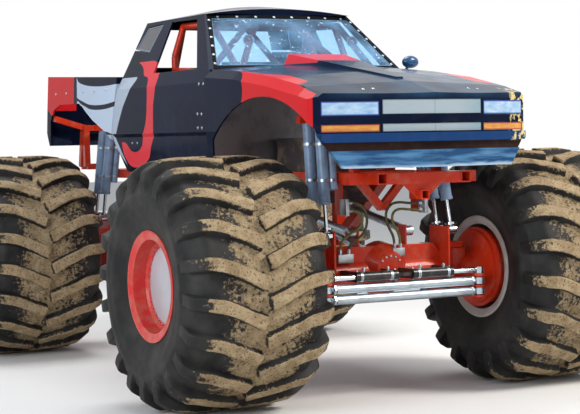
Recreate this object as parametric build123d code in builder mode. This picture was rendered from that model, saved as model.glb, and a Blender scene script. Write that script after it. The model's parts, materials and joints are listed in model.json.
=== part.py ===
from build123d import *

import os
from math import sqrt

# Monster truck: a fibreglass pickup body on a tube chassis, with two steered
# planetary axles and four flotation tyres.
# Millimetres. X to the truck's left, Y to the rear, Z up, ground at Z = 0.
# The origin is on the ground, halfway between the axles.

# Driving sizes of the running gear
WHEELBASE = 3850
TRACK = 2560
TYRE_DIAMETER = 1676
TYRE_WIDTH = 1030
TYRE_WALL = 40
RIM_DIAMETER = 635
RIM_WIDTH = 914
RIM_LIP = 47
RIM_WALL = 12
DISH_DEPTH = 207
HUB_DISC_DIAMETER = 524
HUB_BARREL_DIAMETER = 250
SPINDLE_DIAMETER = 120
DRUM_DIAMETER = 524
DRUM_REACH = 430
KINGPIN_SPAN = 1220
KINGPIN_DIAMETER = 70
YOKE_HEIGHT = 380
YOKE_EAR = 40
YOKE_WIDTH = 150
STEER_ARM = 320
ARM_PIN = 32
ARM_EAR_WIDTH = 84
TIE_ROD_DIAMETER = 64
ROD_EYE_WIDTH = 44
CYLINDER_DIAMETER = 70
CYLINDER_INNER = 60
CYLINDER_OUTER = 385
CYLINDER_ROD = 36
ROD_INNER = 222
AXLE_TUBE = 220
BOWL_DEPTH = 150
NOSE_REACH = 300
RUNNING_GAP = 0.3
MOVING_GAP = 5

# Driving sizes of the chassis
FRAME_TUBE = 76
TUBE_WALL = 8
RAIL_CENTRE = 326
RAIL_HEIGHT = 1502
LOWER_RAIL_HEIGHT = 1000
LOWER_RAIL_REACH = 800
RISER_REACH = 1480
FRAME_FRONT = -2525
FRAME_REAR = 2250
LIGHT_TUBE = 50
LINK_DIAMETER = 60
LINK_EYE_DIAMETER = 72
LINK_EYE_WIDTH = 64
LINK_PIN = 30
BRACKET_PLATE = 12
SHOCK_SPACING = 170
SHOCK_FOOT_OUT = 500
SHOCK_TOP_OUT = 465
SHOCK_FOOT_HEIGHT = 1120
SHOCK_TOP_HEIGHT = 1880
SHOCK_LEAN = 130
SHOCK_BODY_DIAMETER = 78
SHOCK_BODY_LENGTH = 560
SHOCK_ROD_DIAMETER = 28
RESERVOIR_DIAMETER = 62
RESERVOIR_LENGTH = 400

# Driving sizes of the body
BODY_WALL = 15
BODY_GAP = 12
SHEET = 6
BELT_HEIGHT = 2285
SILL_HEIGHT = 1540
ROOF_HEIGHT = 2722
COWL = -980
CAB_BACK = 655
CAB_BACK_SLOPE = 145
NOSE_FRONT = -2665
NOSE_CORNER_OUT = 800
NOSE_CORNER_BACK = 135
CREASE_HEIGHT = 1838
VALANCE_BOTTOM = SILL_HEIGHT + 37
VALANCE_HEIGHT = 112
BUMPER_BOTTOM = 1745
BUMPER_HEIGHT = 57

# Places worked out from the driving sizes
AXLE_HEIGHT = TYRE_DIAMETER / 2
AXLE_PLACE = WHEELBASE / 2
WHEEL_OUT = TRACK / 2
KINGPIN_OUT = KINGPIN_SPAN / 2
RAIL_TOP = RAIL_HEIGHT + FRAME_TUBE / 2
RAIL_INNER = RAIL_CENTRE - FRAME_TUBE / 2
SIDES = (("r", -1), ("l", 1))
ENDS = (("front", -1), ("rear", 1))


def across(y):
    """The upright plane across the truck at y, with local x to the left and local y up."""
    return Plane(origin=(0, y, 0), x_dir=(1, 0, 0), z_dir=(0, -1, 0))


def outward(centre, side):
    """The upright plane through a wheel's axis, with local x out from the truck."""
    return Plane(origin=centre, x_dir=(side, 0, 0), z_dir=(0, -side, 0))


def to_side(point, side):
    """The point with its x measured out to the given side."""
    return (point[0] * side, point[1], point[2])


def round_bar(start, end, diameter):
    """A straight round bar from start to end."""
    run = Vector(*end) - Vector(*start)
    with BuildSketch(Plane(origin=start, z_dir=run.normalized())) as section:
        Circle(diameter / 2)
    return extrude(section.sketch, amount=run.length, mode=Mode.PRIVATE)


def square_bar(start, end, size):
    """A straight square bar from start to end, with two faces as level as they can be."""
    run = Vector(*end) - Vector(*start)
    level = Vector(0, 0, 1).cross(run)
    if level.length < 1:
        level = Vector(1, 0, 0)
    plane = Plane(origin=start, x_dir=level.normalized(), z_dir=run.normalized())
    with BuildSketch(plane) as section:
        Rectangle(size, size)
    return extrude(section.sketch, amount=run.length, mode=Mode.PRIVATE)


def block(corner, opposite):
    """A box between two opposite corners, in any order."""
    centre = [(a + b) / 2 for a, b in zip(corner, opposite)]
    size = [abs(b - a) for a, b in zip(corner, opposite)]
    return Pos(*centre) * Box(*size, mode=Mode.PRIVATE)


def both_sides(points):
    """A closed outline's points: those of the left half, then the same mirrored."""
    return points + [(-x, z) for x, z in reversed(points) if x != 0]


def finish(part, name):
    """Labels a finished part and writes its STEP file."""
    part.part.label = name
    export_step(part.part, f"parts/{name}.step")


os.makedirs("parts", exist_ok=True)

# Wheels

# Half of the tyre's section. Columns: radius, distance out from the middle plane
TYRE_OUTLINE = (
    (TYRE_DIAMETER / 2, 250),
    (TYRE_DIAMETER / 2 - 18, 400),
    (TYRE_DIAMETER / 2 - 88, TYRE_WIDTH / 2 - 10),
    (TYRE_DIAMETER / 2 - 250, TYRE_WIDTH / 2),
    (RIM_DIAMETER / 2 + 30, RIM_WIDTH / 2 - 20),
    (RIM_DIAMETER / 2 + RUNNING_GAP, RIM_WIDTH / 2 - 20),
    (RIM_DIAMETER / 2 + RUNNING_GAP, RIM_WIDTH / 2 - 70),
    (TYRE_DIAMETER / 2 - 290, TYRE_WIDTH / 2 - TYRE_WALL),
    (TYRE_DIAMETER / 2 - 128, TYRE_WIDTH / 2 - 10 - TYRE_WALL),
    (TYRE_DIAMETER / 2 - 90, 250),
)

rim_barrel = RIM_DIAMETER / 2
rim_lip = rim_barrel + RIM_LIP
rim_half = RIM_WIDTH / 2
web_out = rim_half - DISH_DEPTH
disc_radius = HUB_DISC_DIAMETER / 2
spindle_radius = SPINDLE_DIAMETER / 2
spindle_end = web_out - 60
hub_inner = KINGPIN_OUT + DRUM_REACH + MOVING_GAP - WHEEL_OUT

# The rim's section, with its web at the bottom of the dish. Columns: distance out, radius
RIM_OUTLINE = (
    (-rim_half, rim_lip),
    (-rim_half, rim_lip - 14),
    (-rim_half + 14, rim_barrel - RIM_WALL),
    (web_out - 40, rim_barrel - RIM_WALL),
    (web_out - RIM_WALL, rim_barrel - 30),
    (web_out - RIM_WALL, disc_radius + RUNNING_GAP),
    (web_out, disc_radius + RUNNING_GAP),
    (web_out, rim_barrel - 30),
    (web_out + 30, rim_barrel - 22),
    (rim_half - 14, rim_barrel - RIM_WALL),
    (rim_half, rim_lip - 14),
    (rim_half, rim_lip),
    (rim_half - 14, rim_lip),
    (rim_half - 18, rim_barrel),
    (-rim_half + 18, rim_barrel),
    (-rim_half + 14, rim_lip),
)

# The hub's section: its flange bolts behind the web, its barrel runs on the spindle
HUB_OUTLINE = (
    (hub_inner, spindle_radius + RUNNING_GAP),
    (hub_inner, HUB_BARREL_DIAMETER / 2),
    (web_out - 2 * RIM_WALL, HUB_BARREL_DIAMETER / 2),
    (web_out - 2 * RIM_WALL, rim_barrel - 36),
    (web_out - RIM_WALL, rim_barrel - 36),
    (web_out - RIM_WALL, disc_radius),
    (web_out - 2, disc_radius),
    (web_out + 6, 150),
    (web_out + 6, 0),
    (spindle_end + MOVING_GAP, 0),
    (spindle_end + MOVING_GAP, spindle_radius + RUNNING_GAP),
)

# The knuckle's section from the kingpin out. Columns: distance out, radius
DRUM_OUTLINE = (
    (0, 0),
    (0, 105),
    (118, 105),
    (135, 150),
    (165, DRUM_DIAMETER / 2),
    (190, DRUM_DIAMETER / 2),
    (190, DRUM_DIAMETER / 2 + 22),
    (214, DRUM_DIAMETER / 2 + 22),
    (214, DRUM_DIAMETER / 2),
    (385, DRUM_DIAMETER / 2),
    (DRUM_REACH, 190),
    (DRUM_REACH, spindle_radius),
    (WHEEL_OUT - KINGPIN_OUT + spindle_end, spindle_radius),
    (WHEEL_OUT - KINGPIN_OUT + spindle_end, 0),
)

# Ears on the steering arm, below the axle's height.
# Columns: bottom, top, distance from the kingpin at which the ear starts
ARM_EARS = ((-182, -168, 130), (-110, -98, 0), (-38, -16, 0))
ARM_TOP = -16
ARM_BOTTOM = -182
TIE_ROD_HEIGHTS = (("upper", -68), ("lower", -139))


def make_tyre(centre, side, name):
    """The tyre: a hollow ring whose beads sit on the rim."""
    half = [(out, radius) for radius, out in TYRE_OUTLINE]
    with BuildPart() as tyre:
        with BuildSketch(outward(centre, side)):
            with BuildLine():
                Polyline(*half, *[(-out, radius) for out, radius in reversed(half)], close=True)
            make_face()
        revolve(axis=Axis(centre, (1, 0, 0)))
    finish(tyre, name)


def make_turned(outline, centre, side, name):
    """A part turned about the wheel's axis from its section."""
    with BuildPart() as turned:
        with BuildSketch(outward(centre, side)):
            with BuildLine():
                Polyline(*outline, close=True)
            make_face()
        revolve(axis=Axis(centre, (1, 0, 0)))
    finish(turned, name)


def make_knuckle(kingpin, side, end, name):
    """The knuckle: trunnion, neck, drum and spindle, with its steering arm."""
    arm_y = kingpin.Y + STEER_ARM * end
    with BuildPart() as knuckle:
        with BuildSketch(outward(kingpin, side)):
            with BuildLine():
                Polyline(*DRUM_OUTLINE, close=True)
            make_face()
        revolve(axis=Axis(kingpin, (1, 0, 0)))
        trunnion = YOKE_HEIGHT / 2 - YOKE_EAR - MOVING_GAP
        for half_height, radius in ((trunnion, 84), (YOKE_HEIGHT / 2, KINGPIN_DIAMETER / 2)):
            with BuildSketch(Plane(origin=kingpin - Vector(0, 0, half_height))):
                Circle(radius)
            extrude(amount=2 * half_height)
        # The arm's web: shallow near the yoke, full height ahead of it
        web_front = kingpin.Y + end * (STEER_ARM - ARM_EAR_WIDTH / 2)
        for web_start, web_bottom in ((0, -140), (110, ARM_BOTTOM)):
            add(block(
                (kingpin.X - 26, kingpin.Y + end * web_start, AXLE_HEIGHT + web_bottom),
                (kingpin.X + 26, web_front, AXLE_HEIGHT + ARM_TOP),
            ))
        for ear_bottom, ear_top, ear_start in ARM_EARS:
            with BuildSketch(Plane(origin=(kingpin.X, kingpin.Y, AXLE_HEIGHT + ear_bottom))):
                with Locations((0, end * (ear_start + STEER_ARM) / 2)):
                    Rectangle(ARM_EAR_WIDTH, STEER_ARM - ear_start)
                with Locations((0, end * STEER_ARM)):
                    Circle(ARM_EAR_WIDTH / 2)
            extrude(amount=ear_top - ear_bottom)
        with BuildSketch(Plane(origin=(kingpin.X, arm_y, AXLE_HEIGHT + ARM_BOTTOM))):
            Circle(ARM_PIN / 2)
        extrude(amount=ARM_TOP - ARM_BOTTOM)
    finish(knuckle, name)


for end_name, end in ENDS:
    for side_name, side in SIDES:
        corner = f"{end_name}_{side_name}"
        wheel_centre = Vector(WHEEL_OUT * side, AXLE_PLACE * end, AXLE_HEIGHT)
        kingpin = Vector(KINGPIN_OUT * side, AXLE_PLACE * end, AXLE_HEIGHT)
        make_tyre(wheel_centre, side, f"tyre_{corner}")
        make_turned(RIM_OUTLINE, wheel_centre, side, f"rim_{corner}")
        make_turned(HUB_OUTLINE, wheel_centre, side, f"hub_{corner}")
        make_knuckle(kingpin, side, end, f"knuckle_{corner}")

# Axles with their steering gear and suspension

# Link ends. Columns: axle end out, towards mid-truck, height, side of its bracket plate,
# chassis end's distance from mid-truck, where it sits on the riser
LINKS = (
    (230, 0, 1120, -1, 1150),
    (330, 165, 770, 1, 880),
)
LINK_FAR_OUT = RAIL_INNER - LINK_EYE_WIDTH / 2 - BRACKET_PLATE


def link_ends(row, side, end):
    """Both pin centres of a suspension link."""
    out, inward, height, _, far_y = row
    near = (out * side, (AXLE_PLACE - inward) * end, height)
    climb = (RAIL_HEIGHT - LOWER_RAIL_HEIGHT) / (RISER_REACH - LOWER_RAIL_REACH)
    far_height = LOWER_RAIL_HEIGHT + (far_y - LOWER_RAIL_REACH) * climb
    far = (LINK_FAR_OUT * side, far_y * end, far_height)
    return near, far


def shock_line(side, end, spread):
    """The foot and the top of one shock; spread is -1 or 1 along the truck."""
    foot_y = (AXLE_PLACE + SHOCK_LEAN / 2) * end + spread * SHOCK_SPACING / 2
    top_y = (AXLE_PLACE - SHOCK_LEAN / 2) * end + spread * SHOCK_SPACING / 2
    return (SHOCK_FOOT_OUT * side, foot_y, SHOCK_FOOT_HEIGHT), (SHOCK_TOP_OUT * side, top_y, SHOCK_TOP_HEIGHT)


def make_axle(end, name):
    """The housing with its differential, truss, yokes and brackets."""
    axle_y = AXLE_PLACE * end
    half_tube = KINGPIN_OUT - 120
    foot_y = (AXLE_PLACE + SHOCK_LEAN / 2) * end
    plate_out = SHOCK_FOOT_OUT - 36
    with BuildPart() as axle:
        add(round_bar((-half_tube, axle_y, AXLE_HEIGHT), (half_tube, axle_y, AXLE_HEIGHT), AXLE_TUBE))
        # Differential bowl, with its pinion nose towards mid-truck
        with BuildSketch(Plane(origin=(0, axle_y, AXLE_HEIGHT + 30))):
            with BuildLine():
                Polyline(
                    (0, BOWL_DEPTH * end),
                    (105, BOWL_DEPTH * end),
                    (175, 70 * end),
                    (190, -20 * end),
                    (150, -110 * end),
                    (95, -160 * end),
                    (60, -NOSE_REACH * end),
                    (0, -NOSE_REACH * end),
                    close=True,
                )
            make_face()
        revolve(axis=Axis((0, axle_y, AXLE_HEIGHT + 30), (0, 1, 0)))
        # Truss along the top of the tube
        with BuildSketch(across(axle_y)):
            Polygon(
                (-460, AXLE_HEIGHT),
                (-460, AXLE_HEIGHT + 120),
                (-400, AXLE_HEIGHT + 190),
                (400, AXLE_HEIGHT + 190),
                (460, AXLE_HEIGHT + 120),
                (460, AXLE_HEIGHT),
                align=None,
            )
        extrude(amount=70, both=True)
        for _, side in SIDES:
            # Yoke: a back plate and two ears round the knuckle's trunnion
            add(block(
                ((half_tube - 35) * side, axle_y - YOKE_WIDTH / 2, AXLE_HEIGHT - YOKE_HEIGHT / 2),
                (half_tube * side, axle_y + YOKE_WIDTH / 2, AXLE_HEIGHT + YOKE_HEIGHT / 2),
            ))
            for ear_bottom in (-YOKE_HEIGHT / 2, YOKE_HEIGHT / 2 - YOKE_EAR):
                with BuildSketch(Plane.XY.offset(AXLE_HEIGHT + ear_bottom)):
                    with Locations(((KINGPIN_OUT - 60) * side, axle_y)):
                        Rectangle(120, YOKE_WIDTH)
                    with Locations((KINGPIN_OUT * side, axle_y)):
                        Circle(YOKE_WIDTH / 2)
                        Circle(KINGPIN_DIAMETER / 2 + RUNNING_GAP, mode=Mode.SUBTRACT)
                extrude(amount=YOKE_EAR)
            # Shock feet: a plate on the tube with two pins
            add(block(
                ((plate_out - 14) * side, foot_y - 120, AXLE_HEIGHT),
                (plate_out * side, foot_y + 120, SHOCK_FOOT_HEIGHT + 25),
            ))
            for spread in (-1, 1):
                foot, _ = shock_line(side, end, spread)
                pin_start = (plate_out - BRACKET_PLATE) * side
                add(round_bar((pin_start, foot[1], foot[2]), (foot[0] + 36 * side, foot[1], foot[2]), LINK_PIN))
            # Link brackets: a plate beside each eye, with its pin
            for row in LINKS:
                near, _ = link_ends(row, side, end)
                away = row[3] * side
                eye_face = near[0] + (LINK_EYE_WIDTH / 2 + RUNNING_GAP) * away
                add(block(
                    (eye_face + BRACKET_PLATE * away, axle_y + 45 * end, max(AXLE_HEIGHT - 110, near[2] - 180)),
                    (eye_face, near[1] - 45 * end, near[2] + 45),
                ))
                pin_end = near[0] - (LINK_EYE_WIDTH / 2 + 4) * away
                pin_start = eye_face + (BRACKET_PLATE - 2) * away
                add(round_bar((pin_start, near[1], near[2]), (pin_end, near[1], near[2]), LINK_PIN))
    finish(axle, name)


def make_links(end, name):
    """Four tubular links, each with an eye at both ends."""
    with BuildPart() as links:
        for _, side in SIDES:
            for row in LINKS:
                near, far = link_ends(row, side, end)
                add(round_bar(near, far, LINK_DIAMETER))
                for x, y, z in (near, far):
                    half = LINK_EYE_WIDTH / 2
                    add(round_bar((x - half, y, z), (x + half, y, z), LINK_EYE_DIAMETER))
                for x, y, z in (near, far):
                    add(round_bar((x - 60, y, z), (x + 60, y, z), LINK_PIN + 2 * RUNNING_GAP), mode=Mode.SUBTRACT)
    finish(links, name)


def make_shock_bodies(end, name):
    """Two shock bodies a corner, each with a reservoir strapped inboard of it."""
    with BuildPart() as bodies:
        for _, side in SIDES:
            for spread in (-1, 1):
                foot, top = (Vector(*p) for p in shock_line(side, end, spread))
                down = (foot - top).normalized()
                low = top + down * SHOCK_BODY_LENGTH
                add(round_bar(top, low, SHOCK_BODY_DIAMETER))
                inboard = Vector(-(SHOCK_BODY_DIAMETER + RESERVOIR_DIAMETER) / 2 * side, 0, 0)
                high = top + down * 60 + inboard
                add(round_bar(high, high + down * RESERVOIR_LENGTH, RESERVOIR_DIAMETER))
                add(round_bar(top + down * 85, top + down * 85 + inboard, 40))
                # Gland that the rod slides through
                with BuildSketch(Plane(origin=low - down * 40, z_dir=down)):
                    Circle(SHOCK_ROD_DIAMETER / 2 + RUNNING_GAP)
                extrude(amount=41, mode=Mode.SUBTRACT)
        # The tops sit flat under the tower bars
        add(block((-700, AXLE_PLACE * end - 400, SHOCK_TOP_HEIGHT - RUNNING_GAP), (700, AXLE_PLACE * end + 400, 2000)), mode=Mode.SUBTRACT)
    finish(bodies, name)


def make_shock_rods(end, name):
    """The chrome rods, each with its spring cup and its foot eye."""
    with BuildPart() as rods:
        for _, side in SIDES:
            for spread in (-1, 1):
                foot, top = (Vector(*p) for p in shock_line(side, end, spread))
                up = (top - foot).normalized()
                rod_top = foot + up * ((top - foot).length - SHOCK_BODY_LENGTH + 38)
                add(round_bar(foot, rod_top, SHOCK_ROD_DIAMETER))
                add(round_bar(foot + up * 36, foot + up * 50, 84))
                half = Vector(28, 0, 0)
                add(round_bar(foot - half, foot + half, 64))
                reach = Vector(60, 0, 0)
                add(round_bar(foot - reach, foot + reach, LINK_PIN + 2 * RUNNING_GAP), mode=Mode.SUBTRACT)
    finish(rods, name)


def make_tie_rods(end, name):
    """Two tie rods, one above the other, with an eye round each steering-arm pin."""
    arm_y = (AXLE_PLACE + STEER_ARM) * end
    with BuildPart() as tie_rods:
        for _, below in TIE_ROD_HEIGHTS:
            height = AXLE_HEIGHT + below
            reach = KINGPIN_OUT - 30
            add(round_bar((-reach, arm_y, height), (reach, arm_y, height), TIE_ROD_DIAMETER - 24))
            body = KINGPIN_OUT - 75
            add(round_bar((-body, arm_y, height), (body, arm_y, height), TIE_ROD_DIAMETER))
            for _, side in SIDES:
                with BuildSketch(Plane(origin=(KINGPIN_OUT * side, arm_y, height - ROD_EYE_WIDTH / 2))):
                    Circle(38)
                extrude(amount=ROD_EYE_WIDTH)
                with BuildSketch(Plane(origin=(KINGPIN_OUT * side, arm_y, height - ROD_EYE_WIDTH))):
                    Circle(ARM_PIN / 2 + RUNNING_GAP)
                extrude(amount=2 * ROD_EYE_WIDTH, mode=Mode.SUBTRACT)
    finish(tie_rods, name)


rod_height = AXLE_HEIGHT + ARM_TOP + RUNNING_GAP + ROD_EYE_WIDTH / 2


def make_steering_cylinders(end, name):
    """Two rams end to end, held to the axle by three clamps."""
    arm_y = (AXLE_PLACE + STEER_ARM) * end
    axle_face = (AXLE_PLACE + AXLE_TUBE / 2 + RUNNING_GAP) * end
    bowl_face = (AXLE_PLACE + BOWL_DEPTH + RUNNING_GAP) * end
    with BuildPart() as cylinders:
        for _, side in SIDES:
            add(round_bar(
                (CYLINDER_INNER * side, arm_y, rod_height),
                (CYLINDER_OUTER * side, arm_y, rod_height),
                CYLINDER_DIAMETER,
            ))
            for clamp_out, seat in ((CYLINDER_INNER + 8, bowl_face), (CYLINDER_OUTER - 20, axle_face)):
                add(block(
                    ((clamp_out - 8) * side, arm_y - 25 * end, rod_height - 34),
                    ((clamp_out + 12) * side, seat, rod_height + 34),
                ))
                add(round_bar(
                    ((clamp_out - 8) * side, arm_y, rod_height),
                    ((clamp_out + 12) * side, arm_y, rod_height),
                    CYLINDER_DIAMETER + 2,
                ))
        add(block((-CYLINDER_INNER - 5, arm_y - 12, rod_height - 12), (CYLINDER_INNER + 5, arm_y + 12, rod_height + 12)))
        for _, side in SIDES:
            with BuildSketch(Plane(origin=((CYLINDER_INNER + 15) * side, arm_y, rod_height), z_dir=(side, 0, 0))):
                Circle(CYLINDER_ROD / 2 + RUNNING_GAP)
            extrude(amount=CYLINDER_OUTER, mode=Mode.SUBTRACT)
    finish(cylinders, name)


def make_steering_rods(end, name):
    """The two ram rods, each with a fork end that rests on the steering arm."""
    arm_y = (AXLE_PLACE + STEER_ARM) * end
    with BuildPart() as rods:
        for _, side in SIDES:
            add(round_bar((ROD_INNER * side, arm_y, rod_height), ((KINGPIN_OUT - 30) * side, arm_y, rod_height), CYLINDER_ROD))
            add(round_bar(
                ((KINGPIN_OUT - 72) * side, arm_y, rod_height),
                ((KINGPIN_OUT - 30) * side, arm_y, rod_height),
                ROD_EYE_WIDTH,
            ))
            with BuildSketch(Plane(origin=(KINGPIN_OUT * side, arm_y, rod_height - ROD_EYE_WIDTH / 2))):
                Circle(36)
            extrude(amount=ROD_EYE_WIDTH)
    finish(rods, name)


for end_name, end in ENDS:
    make_axle(end, f"{end_name}_axle")
    make_links(end, f"{end_name}_links")
    make_shock_bodies(end, f"{end_name}_shock_bodies")
    make_shock_rods(end, f"{end_name}_shock_rods")
    make_tie_rods(end, f"{end_name}_tie_rods")
    make_steering_cylinders(end, f"{end_name}_steering_cylinders")
    make_steering_rods(end, f"{end_name}_steering_rods")

# Chassis

TOWER_LEG_REACH = 330
TOWER_BAR_OUT = SHOCK_FOOT_OUT + 40
RAIL_EAR_DROP = 252
BRACE_DROP = 217
BRACE_OUT = 200
OUTRIGGER_OUT = 800
OUTRIGGER_PLACES = (-700, 450)
tower_middle = AXLE_PLACE - SHOCK_LEAN / 2
tower_bar_height = SHOCK_TOP_HEIGHT + LIGHT_TUBE / 2
brace_y = -1960

# Cross-members between the rails, by their distance from mid-truck
UPPER_CROSS = (brace_y, -RISER_REACH, -800, -400, 0, 400, 800, 1140, RISER_REACH, 1960, FRAME_REAR - FRAME_TUBE / 2)
LOWER_CROSS = (-800, -400, 0, 400, 800)

# Side frames: a truss a side, with its outriggers and the pins for the suspension links
with BuildPart() as side_frames:
    for _, side in SIDES:
        rail_x = RAIL_CENTRE * side
        bars = [
            square_bar((rail_x, FRAME_FRONT, RAIL_HEIGHT), (rail_x, FRAME_REAR, RAIL_HEIGHT), FRAME_TUBE),
            square_bar(
                (rail_x, -LOWER_RAIL_REACH - FRAME_TUBE / 2, LOWER_RAIL_HEIGHT),
                (rail_x, LOWER_RAIL_REACH + FRAME_TUBE / 2, LOWER_RAIL_HEIGHT),
                FRAME_TUBE,
            ),
        ]
        for _, end in ENDS:
            knee = (rail_x, LOWER_RAIL_REACH * end, LOWER_RAIL_HEIGHT)
            bars.append(square_bar(knee, (rail_x, RISER_REACH * end, RAIL_HEIGHT), FRAME_TUBE))
            post_top = (rail_x, LOWER_RAIL_REACH * end, RAIL_HEIGHT)
            bars.append(square_bar(post_top, (rail_x, 0, LOWER_RAIL_HEIGHT), LIGHT_TUBE))
        for post_y in (-LOWER_RAIL_REACH, 0, LOWER_RAIL_REACH):
            bars.append(square_bar((rail_x, post_y, LOWER_RAIL_HEIGHT), (rail_x, post_y, RAIL_HEIGHT), FRAME_TUBE))
        for outrigger_y in OUTRIGGER_PLACES:
            height = RAIL_TOP - LIGHT_TUBE / 2
            bars.append(square_bar((rail_x, outrigger_y, height), (OUTRIGGER_OUT * side, outrigger_y, height), LIGHT_TUBE))
        # Ear below the front rail
        bars.append(block(
            ((RAIL_CENTRE - 25) * side, brace_y, RAIL_HEIGHT),
            ((RAIL_CENTRE - 13) * side, brace_y + 96, RAIL_HEIGHT - RAIL_EAR_DROP),
        ))
        add(bars)
        for _, end in ENDS:
            for row in LINKS:
                _, (x, y, z) = link_ends(row, side, end)
                pin_end = x - (LINK_EYE_WIDTH / 2 + 4) * side
                add(round_bar(((RAIL_INNER + 20) * side, y, z), (pin_end, y, z), LINK_PIN))
        # Open end of the front rail
        with BuildSketch(Plane(origin=(rail_x, FRAME_FRONT, RAIL_HEIGHT), z_dir=(0, 1, 0))):
            Rectangle(FRAME_TUBE - 2 * TUBE_WALL, FRAME_TUBE - 2 * TUBE_WALL)
        extrude(amount=120, mode=Mode.SUBTRACT)
finish(side_frames, "side_frames")

# Cross-members, with a V brace below the one over the front axle
with BuildPart() as cross_members:
    cross_reach = RAIL_INNER - RUNNING_GAP
    for height, places in ((RAIL_HEIGHT, UPPER_CROSS), (LOWER_RAIL_HEIGHT, LOWER_CROSS)):
        for cross_y in places:
            add(square_bar((-cross_reach, cross_y, height), (cross_reach, cross_y, height), FRAME_TUBE))
    for _, side in SIDES:
        add(square_bar(
            (BRACE_OUT * side, brace_y, RAIL_HEIGHT), (0, brace_y, RAIL_HEIGHT - BRACE_DROP), LIGHT_TUBE
        ))
finish(cross_members, "cross_members")

# Shock towers: bars across the truck that carry the shock tops, on legs that stand on the rails
with BuildPart() as shock_towers:
    for _, end in ENDS:
        for spread in (-1, 1):
            foot_y = tower_middle * end + spread * TOWER_LEG_REACH
            bar_y = tower_middle * end + spread * SHOCK_SPACING / 2
            add(square_bar(
                (-TOWER_BAR_OUT, bar_y, tower_bar_height), (TOWER_BAR_OUT, bar_y, tower_bar_height), LIGHT_TUBE
            ))
            for _, side in SIDES:
                add(square_bar(
                    (RAIL_CENTRE * side, foot_y, RAIL_HEIGHT), (RAIL_CENTRE * side, bar_y, tower_bar_height), LIGHT_TUBE
                ))
    add(block((-TOWER_BAR_OUT, FRAME_FRONT, 0), (TOWER_BAR_OUT, FRAME_REAR + 400, RAIL_TOP)), mode=Mode.SUBTRACT)
finish(shock_towers, "shock_towers")

# Front cross-member between the rail ends, with its receiver and its outriggers
RECEIVER = 62
receiver_height = RAIL_HEIGHT - 111
front_cross_y = FRAME_FRONT + FRAME_TUBE / 2 + 4
with BuildPart() as front_frame:
    inner = RAIL_INNER - RUNNING_GAP
    outer = RAIL_CENTRE + FRAME_TUBE / 2 + RUNNING_GAP
    add(square_bar((-inner, front_cross_y, RAIL_HEIGHT), (inner, front_cross_y, RAIL_HEIGHT), FRAME_TUBE))
    with BuildSketch(across(front_cross_y + 5)):
        Polygon(
            (-150, RAIL_HEIGHT - FRAME_TUBE / 2),
            (150, RAIL_HEIGHT - FRAME_TUBE / 2),
            (RECEIVER / 2 + 4, receiver_height - RECEIVER / 2),
            (-RECEIVER / 2 - 4, receiver_height - RECEIVER / 2),
            align=None,
        )
    extrude(amount=10)
    add(square_bar((0, FRAME_FRONT - 5, receiver_height), (0, FRAME_FRONT + 150, receiver_height), RECEIVER))
    with BuildSketch(Plane(origin=(0, FRAME_FRONT - 5, receiver_height), z_dir=(0, 1, 0))):
        Rectangle(RECEIVER - 14, RECEIVER - 14)
    extrude(amount=140, mode=Mode.SUBTRACT)
    for _, side in SIDES:
        add(square_bar((outer * side, -2350, RAIL_HEIGHT), (500 * side, -2350, RAIL_HEIGHT), FRAME_TUBE))
finish(front_frame, "front_frame")

# Roll cage inside the cab. Columns: start, end, each as out, y, height
HOOP_Y = 60
FLOOR_TOP = RAIL_TOP + SHEET
HOOP_TOP = ROOF_HEIGHT - 58
CAGE_BRACE_TOP = ROOF_HEIGHT - 72
DASH_BAR = BELT_HEIGHT - 19
CAGE_SIDE = (
    ((620, HOOP_Y, FLOOR_TOP), (620, HOOP_Y, ROOF_HEIGHT - 292)),
    ((620, HOOP_Y, ROOF_HEIGHT - 292), (540, HOOP_Y, HOOP_TOP)),
    ((620, 460, FLOOR_TOP + 10), (545, HOOP_Y, ROOF_HEIGHT - 82)),
    ((690, -770, FLOOR_TOP), (690, -770, DASH_BAR)),
    ((690, -770, DASH_BAR), (560, -420, CAGE_BRACE_TOP)),
    ((560, -420, CAGE_BRACE_TOP), (540, HOOP_Y, HOOP_TOP)),
    ((620, HOOP_Y, BELT_HEIGHT + 35), (690, -770, DASH_BAR)),
    ((620, HOOP_Y, 1620), (690, -770, DASH_BAR)),
    ((620, HOOP_Y, BELT_HEIGHT + 35), (690, -770, 1620)),
    ((470, -770, DASH_BAR), (530, -420, CAGE_BRACE_TOP)),
    ((470, -770, DASH_BAR), (160, -420, CAGE_BRACE_TOP)),
    ((0, HOOP_Y, HOOP_TOP), (620, HOOP_Y, 2000)),
)
CAGE_ACROSS = (
    ((-540, HOOP_Y, HOOP_TOP), (540, HOOP_Y, HOOP_TOP)),
    ((-560, -420, CAGE_BRACE_TOP), (560, -420, CAGE_BRACE_TOP)),
    ((-690, -770, DASH_BAR), (690, -770, DASH_BAR)),
    ((-620, HOOP_Y, 2000), (620, HOOP_Y, 2000)),
)
with BuildPart() as roll_cage:
    cage_bars = [round_bar(*bar, LIGHT_TUBE) for bar in CAGE_ACROSS]
    for _, side in SIDES:
        cage_bars += [round_bar(to_side(a, side), to_side(b, side), LIGHT_TUBE) for a, b in CAGE_SIDE]
    for bar in cage_bars:
        add(bar)
    for _, side in SIDES:
        for foot_out, foot_y in ((620, HOOP_Y), (620, 460), (690, -770)):
            add(block(
                (foot_out * side - 60, foot_y - 28, FLOOR_TOP), (foot_out * side + 60, foot_y + 28, FLOOR_TOP + 20)
            ))
finish(roll_cage, "roll_cage")

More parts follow.
